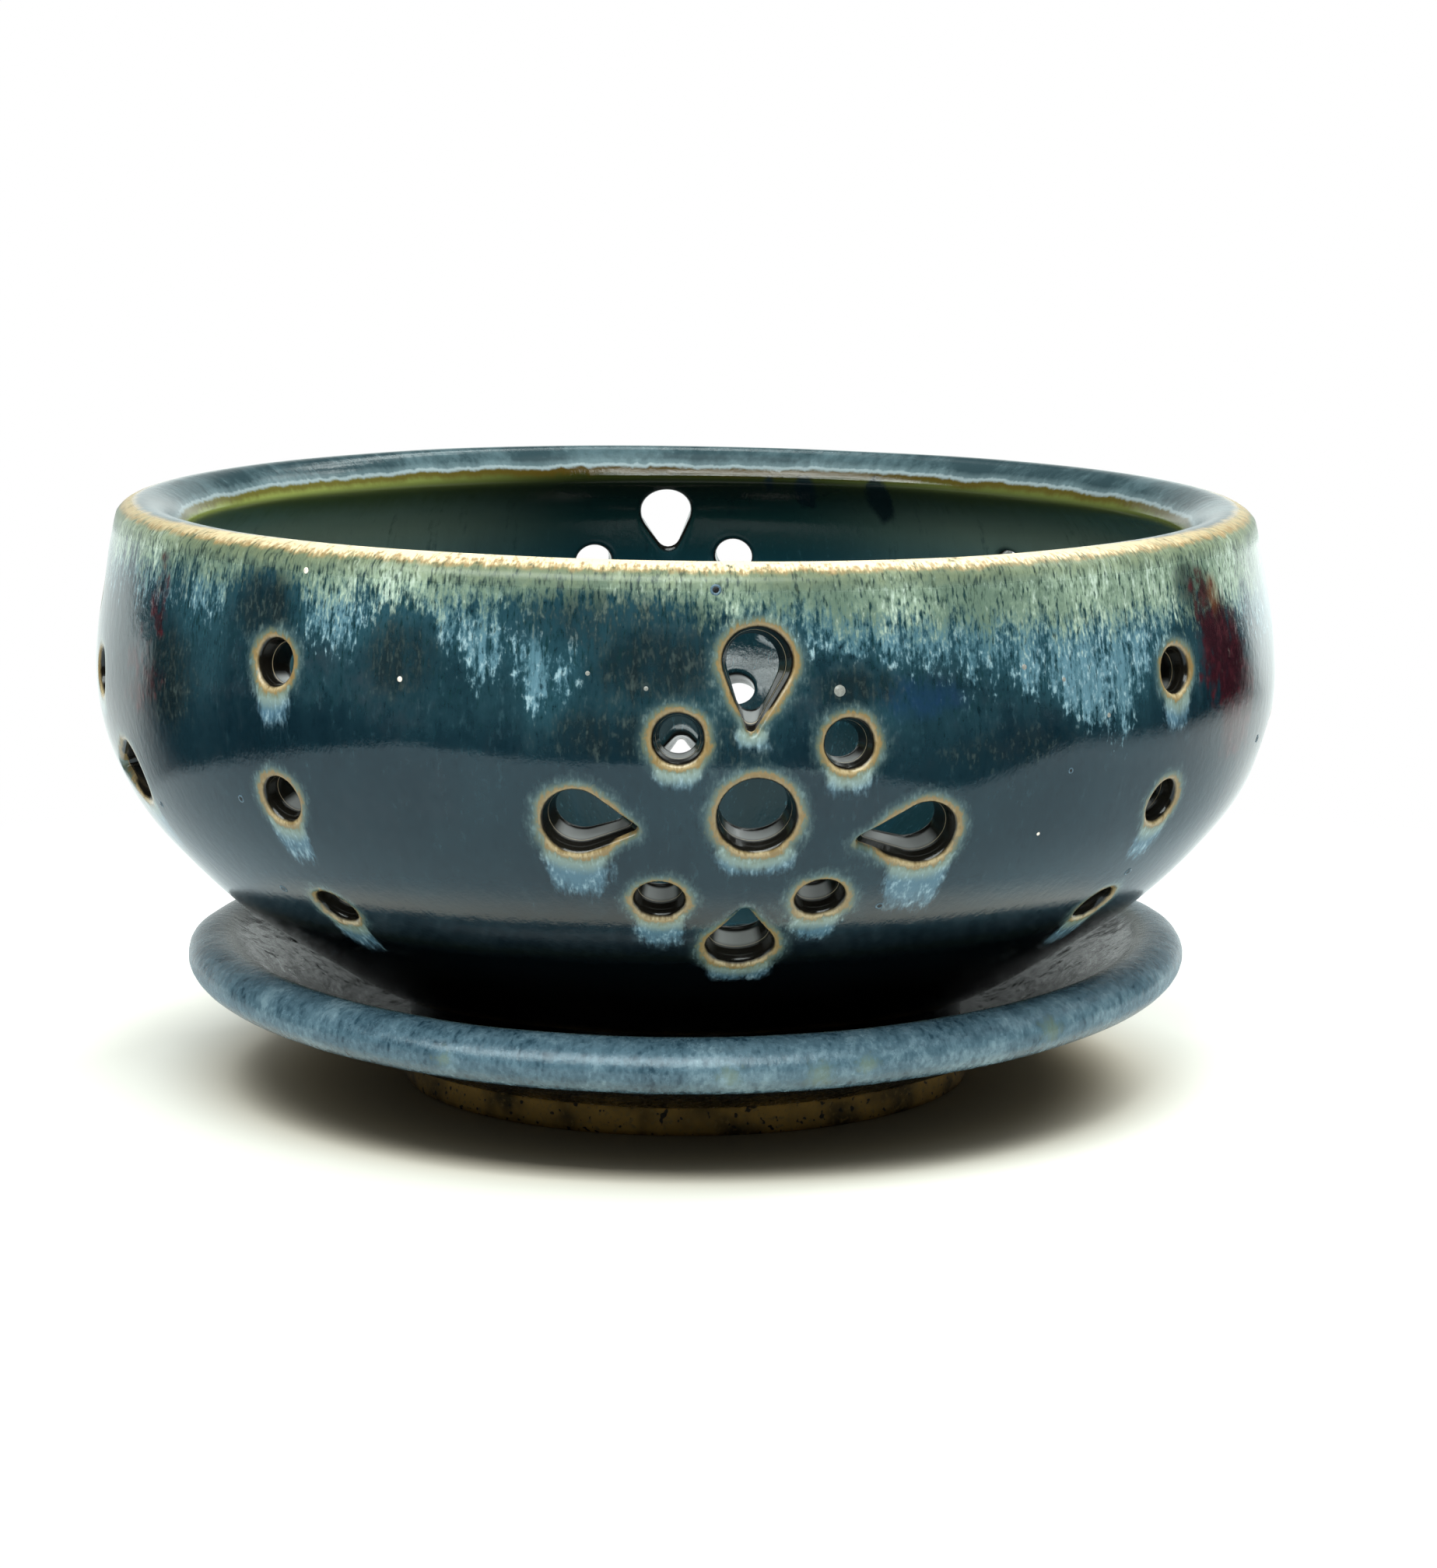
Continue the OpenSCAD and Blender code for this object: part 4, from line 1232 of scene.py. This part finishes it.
def marks_tree(materials):
    """A node group that sets a small bead, pit or blob on each point it is given."""
    tree = bpy.data.node_groups.new("kiln_marks", "GeometryNodeTree")
    face = tree.interface
    face.new_socket("Places", in_out="INPUT", socket_type="NodeSocketGeometry")
    socket = face.new_socket("Flatness", in_out="INPUT", socket_type="NodeSocketFloat")
    socket.default_value = 0.45
    face.new_socket("Geometry", in_out="OUTPUT", socket_type="NodeSocketGeometry")
    given = add(tree, "NodeGroupInput").outputs
    facing, size, kind = (
        add(tree, "GeometryNodeInputNamedAttribute", {"Name": name}, data_type=sort).outputs[0]
        for name, sort in (("facing", "FLOAT_VECTOR"), ("size", "FLOAT"), ("kind", "FLOAT")))
    turned = add(tree, "FunctionNodeAlignRotationToVector", {"Vector": facing}, axis="Z")
    flat = add(tree, "ShaderNodeCombineXYZ", {0: 1.0, 1: 1.0, 2: given["Flatness"]}).outputs[0]
    scale = add(tree, "ShaderNodeVectorMath", {0: flat, "Scale": size}, operation="SCALE")
    bead = add(tree, "GeometryNodeMeshIcoSphere", {"Radius": 1.0, "Subdivisions": 3})
    path, wall = (
        add(tree, "GeometryNodeCurvePrimitiveCircle", {"Resolution": count, "Radius": radius},
            mode="RADIUS").outputs[0] for count, radius in ((20, 1.0), (8, 0.32)))
    ring = add(tree, "GeometryNodeCurveToMesh", {"Curve": path, "Profile Curve": wall})
    # A flat near-black disc inside the pit's ring: painted shade where the pit's hollow would be.
    pit_shade_disc = add(tree, "GeometryNodeTransform", {
        "Geometry": bead.outputs[0], "Scale": (0.9, 0.9, 0.25)})
    parts = []
    for number, shapes in ((0, [(bead, materials[0])]), (1, [(ring, materials[1]),
                                                            (pit_shade_disc, materials[2])]),
                           (2, [(bead, materials[3])])):
        chosen = add(tree, "FunctionNodeCompare", {
            "A": kind, "B": float(number), "Epsilon": 0.2}, data_type="FLOAT", operation="EQUAL")
        for shape, material in shapes:
            dressed = add(tree, "GeometryNodeSetMaterial", {
                "Geometry": shape.outputs[0], "Material": material})
            parts.append(add(tree, "GeometryNodeInstanceOnPoints", {
                "Points": given["Places"], "Selection": chosen.outputs[0],
                "Instance": dressed.outputs[0], "Rotation": turned.outputs[0],
                "Scale": scale.outputs[0]}))
    together = add(tree, "GeometryNodeJoinGeometry")
    for part in parts:
        tree.links.new(part.outputs[0], together.inputs[0])
    real = add(tree, "GeometryNodeRealizeInstances", {"Geometry": together.outputs[0]})
    smooth = add(tree, "GeometryNodeSetShadeSmooth", {"Geometry": real.outputs[0]})
    add(tree, "NodeGroupOutput", {0: smooth.outputs[0]})
    return tree


def evaluated_piece(name, source, tree, values):
    """Run a node group on a piece's own geometry and keep the result as a plain mesh."""
    holder = bpy.data.objects.new(name + "_source", source)
    bpy.context.scene.collection.objects.link(holder)
    modifier = holder.modifiers.new("Form", "NODES")
    modifier.node_group = tree
    for socket in tree.interface.items_tree:
        if socket.in_out == "INPUT" and socket.name in values:
            modifier[socket.identifier] = values[socket.name]
    bpy.context.view_layer.update()
    graph = bpy.context.evaluated_depsgraph_get()
    data = bpy.data.meshes.new_from_object(holder.evaluated_get(graph))
    holder.modifiers.remove(modifier)
    bpy.data.objects.remove(holder)
    data.name = name + "_form"
    return piece(name, data)


def piece(name, data):
    """A new object of the scene at the origin."""
    made = bpy.data.objects.new(name, data)
    bpy.context.scene.collection.objects.link(made)
    return made


class BOWL_OT_colander(bpy.types.Operator):
    """Throw the bowl, pierce it and glaze it"""
    bl_idname = "berry_bowl.colander"
    bl_label = "Colander bowl"

    def execute(self, context):
        scene = context.scene
        data, skin = bowl_mesh(scene.berry_sizes, scene.berry_piercing)
        colours = scene.berry_glaze
        data.materials.append(glazed_stoneware(colours, skin))
        data.materials.append(bare_stoneware(colours))
        made = piece("glazed_colander_bowl", data)
        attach(made, BODIES["colander_bowl"])
        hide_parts("colander_bowl")
        return {"FINISHED"}


class BOWL_OT_saucer(bpy.types.Operator):
    """Turn the drip saucer from its outline and glaze it"""
    bl_idname = "berry_bowl.saucer"
    bl_label = "Drip saucer"

    def execute(self, context):
        scene = context.scene
        sizes, colours = scene.berry_sizes, scene.berry_glaze
        line, spots = saucer_outline(sizes)
        curve = bpy.data.curves.new("saucer_outline", "CURVE")
        curve.dimensions = "3D"
        spline = curve.splines.new("POLY")
        spline.points.add(len(line) - 1)
        for point, (r, z) in zip(spline.points, line):
            point.co = (r * MM, 0.0, z * MM, 1.0)
        tree = turning_tree(saucer_glaze(spots), bare_stoneware(colours))
        made = evaluated_piece("glazed_drip_saucer", curve, tree, {
            "Sides": 256, "Rings": 200, "Warp": sizes.saucer_warp, "Waves": 0.0006,
            "Lip Radius": sizes.saucer_width / 2, "Glaze From": spots["glaze"] * MM, "Seed": 7})
        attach(made, BODIES["drip_saucer"])
        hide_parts("drip_saucer")
        return {"FINISHED"}


class BOWL_OT_kiln_marks(bpy.types.Operator):
    """Scatter the specks, pits and blobs that the firing left in the bowl's glaze"""
    bl_idname = "berry_bowl.kiln_marks"
    bl_label = "Kiln marks"

    def execute(self, context):
        scene = context.scene
        skin = Skin(scene.berry_sizes)
        sheet = Sheet(skin, scene.berry_sizes)
        places, facing, size, kind = [], [], [], []
        for turn, height, radius, sort in KILN_MARKS:
            run = skin.run_at_height(height)
            sink = radius * (0.12 if sort != 1 else 0.02)
            places.append(sheet.place(np.array([turn]), np.array([run]), sink)[0] * MM)
            _, _, nr, nz = skin.at(run)
            a = math.radians(turn)
            facing.append((nr * math.sin(a), -nr * math.cos(a), nz))
            size.append(radius * MM)
            kind.append(float(sort))
        data = bpy.data.meshes.new("kiln_mark_places")
        data.from_pydata([tuple(p) for p in places], [], [])
        keep_data(data, "facing", "vector", facing)
        keep_data(data, "size", "value", size)
        keep_data(data, "kind", "value", kind)
        tree = marks_tree([
            kiln_mark_material("unmelted_white_speck", 0.7, "#E6DFCF", 0.3),
            kiln_mark_material("pinhole_edge_glaze", 0.6, "#4C6470", 0.12),
            kiln_mark_material("pinhole_painted_shade", 0.5, "#0A0B0C", 0.4),
            kiln_mark_material("milky_glaze_blob", 0.8, "#7F837C", 0.15)])
        made = evaluated_piece("glaze_kiln_marks", data, tree, {"Flatness": 0.45})
        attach(made, BODIES["colander_bowl"])
        return {"FINISHED"}


class BOWL_OT_stage(bpy.types.Operator):
    """Lay the white surface, set the light and place the camera"""
    bl_idname = "berry_bowl.stage"
    bl_label = "Stage"

    def execute(self, context):
        scene = context.scene
        scene.view_settings.view_transform = "Standard"
        self.surface()
        self.room(scene)
        self.lamps()
        self.camera(scene)
        return {"FINISHED"}

    def surface(self):
        """White paper under the object. What the glaze mirrors of it ends in front of the bowl."""
        data = bpy.data.meshes.new("white_surface")
        data.from_pydata([(-3, -3, 0), (3, -3, 0), (3, 3, 0), (-3, 3, 0)], [], [(0, 1, 2, 3)])
        made = piece("white_surface", data)
        paper, t = fresh(bpy.data.materials.new("white_paper"))
        light = add(t, "ShaderNodeLightPath").outputs
        place = add(t, "ShaderNodeTexCoord").outputs["Object"]
        x, y, _ = add(t, "ShaderNodeSeparateXYZ", {0: place}).outputs
        away = add(t, "ShaderNodeVectorMath", {0: place}, operation="LENGTH").outputs["Value"]
        # Painted shadow: the paper fades to grey from 16 cm in towards the middle and to
        # grey-brown from 8 cm in, round the saucer.
        white = add(t, "ShaderNodeBsdfDiffuse", {"Color": layered(t, (0.9, 0.9, 0.89), [
            (ramp(t, away, 0.16, 0.09), "#DDE1D8"), (ramp(t, away, 0.078, 0.05), "#A89F86")])})
        clean = add(t, "ShaderNodeEmission", {"Color": (1, 1, 1, 1), "Strength": 1.0})
        # The paper burns out to white away from the object, as it does in the photograph.
        burnt = joined(t, "MULTIPLY", ramp(t, away, 0.095, 0.235), light["Is Camera Ray"])
        seen = add(t, "ShaderNodeMixShader", {0: burnt, 1: white.outputs[0],
                                              2: clean.outputs[0]})
        # Its edges, worked out from where their mirror images lie on the belly: one in front,
        # nearer on the right, a dark wedge that opens to the left, and a soft one on the right.
        front = ramp(t, summed(t, y, (ramp(t, x, 0.075, 0.125), -0.16)), -0.295, -0.281)
        left = joined(t, "MAXIMUM", ramp(t, summed(t, x, (y, -0.517)), -0.195, -0.165),
                      ramp(t, summed(t, y, (x, 0.68)), -0.12, 0.0))
        right = joined(t, "MAXIMUM", ramp(t, x, 0.45, 0.2),
                       ramp(t, summed(t, y, (x, -1.1)), -0.18, 0.08))
        far = joined(t, "MULTIPLY", front, left, right,
                     summed(t, 0.9, (ramp(t, x, 0.1, 0.45), 0.6), (ramp(t, y, 0.0, 0.15), 0.3)))
        mirrored = add(t, "ShaderNodeEmission", {"Color": layered(
            t, (0.7, 0.88, 0.95), [(ramp(t, y, -0.05, 0.15), (0.92, 1.0, 0.98))]),
            "Strength": far})
        beyond = ramp(t, away, 0.07, 0.085)
        out = add(t, "ShaderNodeMixShader", {
            0: joined(t, "MULTIPLY", light["Is Glossy Ray"], beyond), 1: seen.outputs[0],
            2: mirrored.outputs[0]})
        add(t, "ShaderNodeOutputMaterial", {0: out.outputs[0]})
        made.data.materials.append(paper)

    def room(self, scene):
        """White all round for the eye, while the glaze mirrors a dark room in front."""
        scene.world, t = fresh(bpy.data.worlds.new("soft_white_room"))
        way = add(t, "ShaderNodeTexCoord").outputs["Generated"]
        d = add(t, "ShaderNodeSeparateXYZ", {0: way}).outputs
        # Behind the object a white backdrop stands upright, its edge softer on the right.
        upright = summed(t, (ramp(t, d[2], 0.5, 0.3), 0.5), (ramp(t, d[2], 0.28, 0.12), 0.5))
        behind = joined(t, "MULTIPLY", upright, 0.95, joined(
            t, "MAXIMUM", joined(t, "MULTIPLY", ramp(t, d[1], 0.62, 0.78),
                                 ramp(t, d[0], 0.1, -0.1)), ramp(t, d[1], 0.63, 0.86)))
        # A row of small lights high behind it, which the slope of the rim mirrors as sparks.
        grain = add(t, "ShaderNodeTexNoise", {"Vector": way, "Scale": 14.0, "Detail": 1.0})
        row = joined(t, "MULTIPLY", ramp(t, d[2], 0.56, 0.64), ramp(t, d[2], 0.78, 0.72),
                     ramp(t, d[0], -0.2, 0.02), ramp(t, d[1], 0.3, 0.5),
                     summed(t, 0.3, (ramp(t, grain.outputs[0], 0.5, 0.62), 3.5)))
        above = joined(t, "MULTIPLY", ramp(t, d[2], 0.9, 0.97), 0.4)
        # The window over the camera, which the inside of the bowl mirrors in broken patches.
        panes = add(t, "ShaderNodeTexNoise", {"Vector": way, "Scale": 20.0, "Detail": 3.0})
        window = joined(t, "MULTIPLY", ramp(t, d[1], -0.2, -0.35), ramp(t, d[2], 0.5, 0.56),
                        ramp(t, d[2], 0.9, 0.84), ramp(t, d[0], 0.36, 0.24),
                        ramp(t, panes.outputs[0], 0.44, 0.58), 10.0)
        mirrored = joined(t, "MAXIMUM", behind, above, row, window, 0.015)
        light = add(t, "ShaderNodeLightPath").outputs
        seen = add(t, "ShaderNodeBackground", {"Color": (1, 1, 1, 1), "Strength": 1.0})
        shine = add(t, "ShaderNodeBackground", {"Color": (0.92, 1, 0.98, 1),
                                                "Strength": mirrored})
        glow = summed(t, 0.04, ramp(t, d[2], 0.15, 0.8))
        soft = add(t, "ShaderNodeBackground", {"Color": (1, 1, 1, 1), "Strength": glow})
        gloss = add(t, "ShaderNodeMixShader", {0: light["Is Glossy Ray"], 1: soft.outputs[0],
                                               2: shine.outputs[0]})
        out = add(t, "ShaderNodeMixShader", {0: light["Is Camera Ray"], 1: gloss.outputs[0],
                                             2: seen.outputs[0]})
        add(t, "ShaderNodeOutputWorld", {0: out.outputs[0]})

    def lamps(self):
        """A wide lamp above, to the right and behind, as a window, and one over the camera's
        left. The glaze mirrors neither, because the room's own lights are drawn above."""
        for name, place, power in (("overhead_window", (0.55, 0.4, 0.9), 14.0),
                                   ("front_fill", (-0.2, -0.62, 1.1), 20.0)):
            lamp = bpy.data.lights.new(name, "AREA")
            lamp.shape = "RECTANGLE"
            lamp.size, lamp.size_y, lamp.energy = 0.9, 0.54, power
            made = piece(name, lamp)
            made.location = place
            way = Vector((0, 0, 0.05)) - Vector(place)
            made.rotation_euler = way.to_track_quat("-Z", "Y").to_euler()
            made.visible_glossy = False

    def camera(self, scene):
        """A long lens just above the rim, as the photograph was taken."""
        lens = bpy.data.cameras.new("photograph_view")
        lens.sensor_width = 36.0
        lens.lens = 105.37
        lens.shift_x = 0.0211
        lens.clip_start = 0.01
        made = piece("photograph_view", lens)
        made.location = (0.0, -0.63774, 0.14942)
        look_down = 9.639
        made.rotation_euler = (math.radians(90 - look_down), 0.0, 0.0)
        scene.camera = made


class BOWL_PT_workshop(bpy.types.Panel):
    """Sizes, colours and pieces of the berry bowl"""
    bl_label = "Berry bowl"
    bl_idname = "BOWL_PT_workshop"
    bl_space_type = "VIEW_3D"
    bl_region_type = "UI"
    bl_category = "Bowl"

    def draw(self, context):
        layout = self.layout
        for kind in PIECES:
            layout.operator(kind.bl_idname)
        for group in (context.scene.berry_sizes, context.scene.berry_piercing,
                      context.scene.berry_glaze):
            box = layout.box()
            for key in group.__annotations__:
                box.prop(group, key)


GROUPS = (ThrowingSizes, PiercingSizes, GlazeColours)
PIECES = (BOWL_OT_colander, BOWL_OT_saucer, BOWL_OT_kiln_marks, BOWL_OT_stage)


def register():
    for kind in GROUPS + PIECES + (BOWL_PT_workshop,):
        bpy.utils.register_class(kind)
    bpy.types.Scene.berry_sizes = PointerProperty(type=ThrowingSizes)
    bpy.types.Scene.berry_piercing = PointerProperty(type=PiercingSizes)
    bpy.types.Scene.berry_glaze = PointerProperty(type=GlazeColours)


def unregister():
    for key in ("berry_glaze", "berry_piercing", "berry_sizes"):
        delattr(bpy.types.Scene, key)
    for kind in reversed(GROUPS + PIECES + (BOWL_PT_workshop,)):
        bpy.utils.unregister_class(kind)


def main():
    register()
    bpy.ops.berry_bowl.colander()
    bpy.ops.berry_bowl.saucer()
    bpy.ops.berry_bowl.kiln_marks()
    bpy.ops.berry_bowl.stage()


if __name__ == "__main__":
    main()
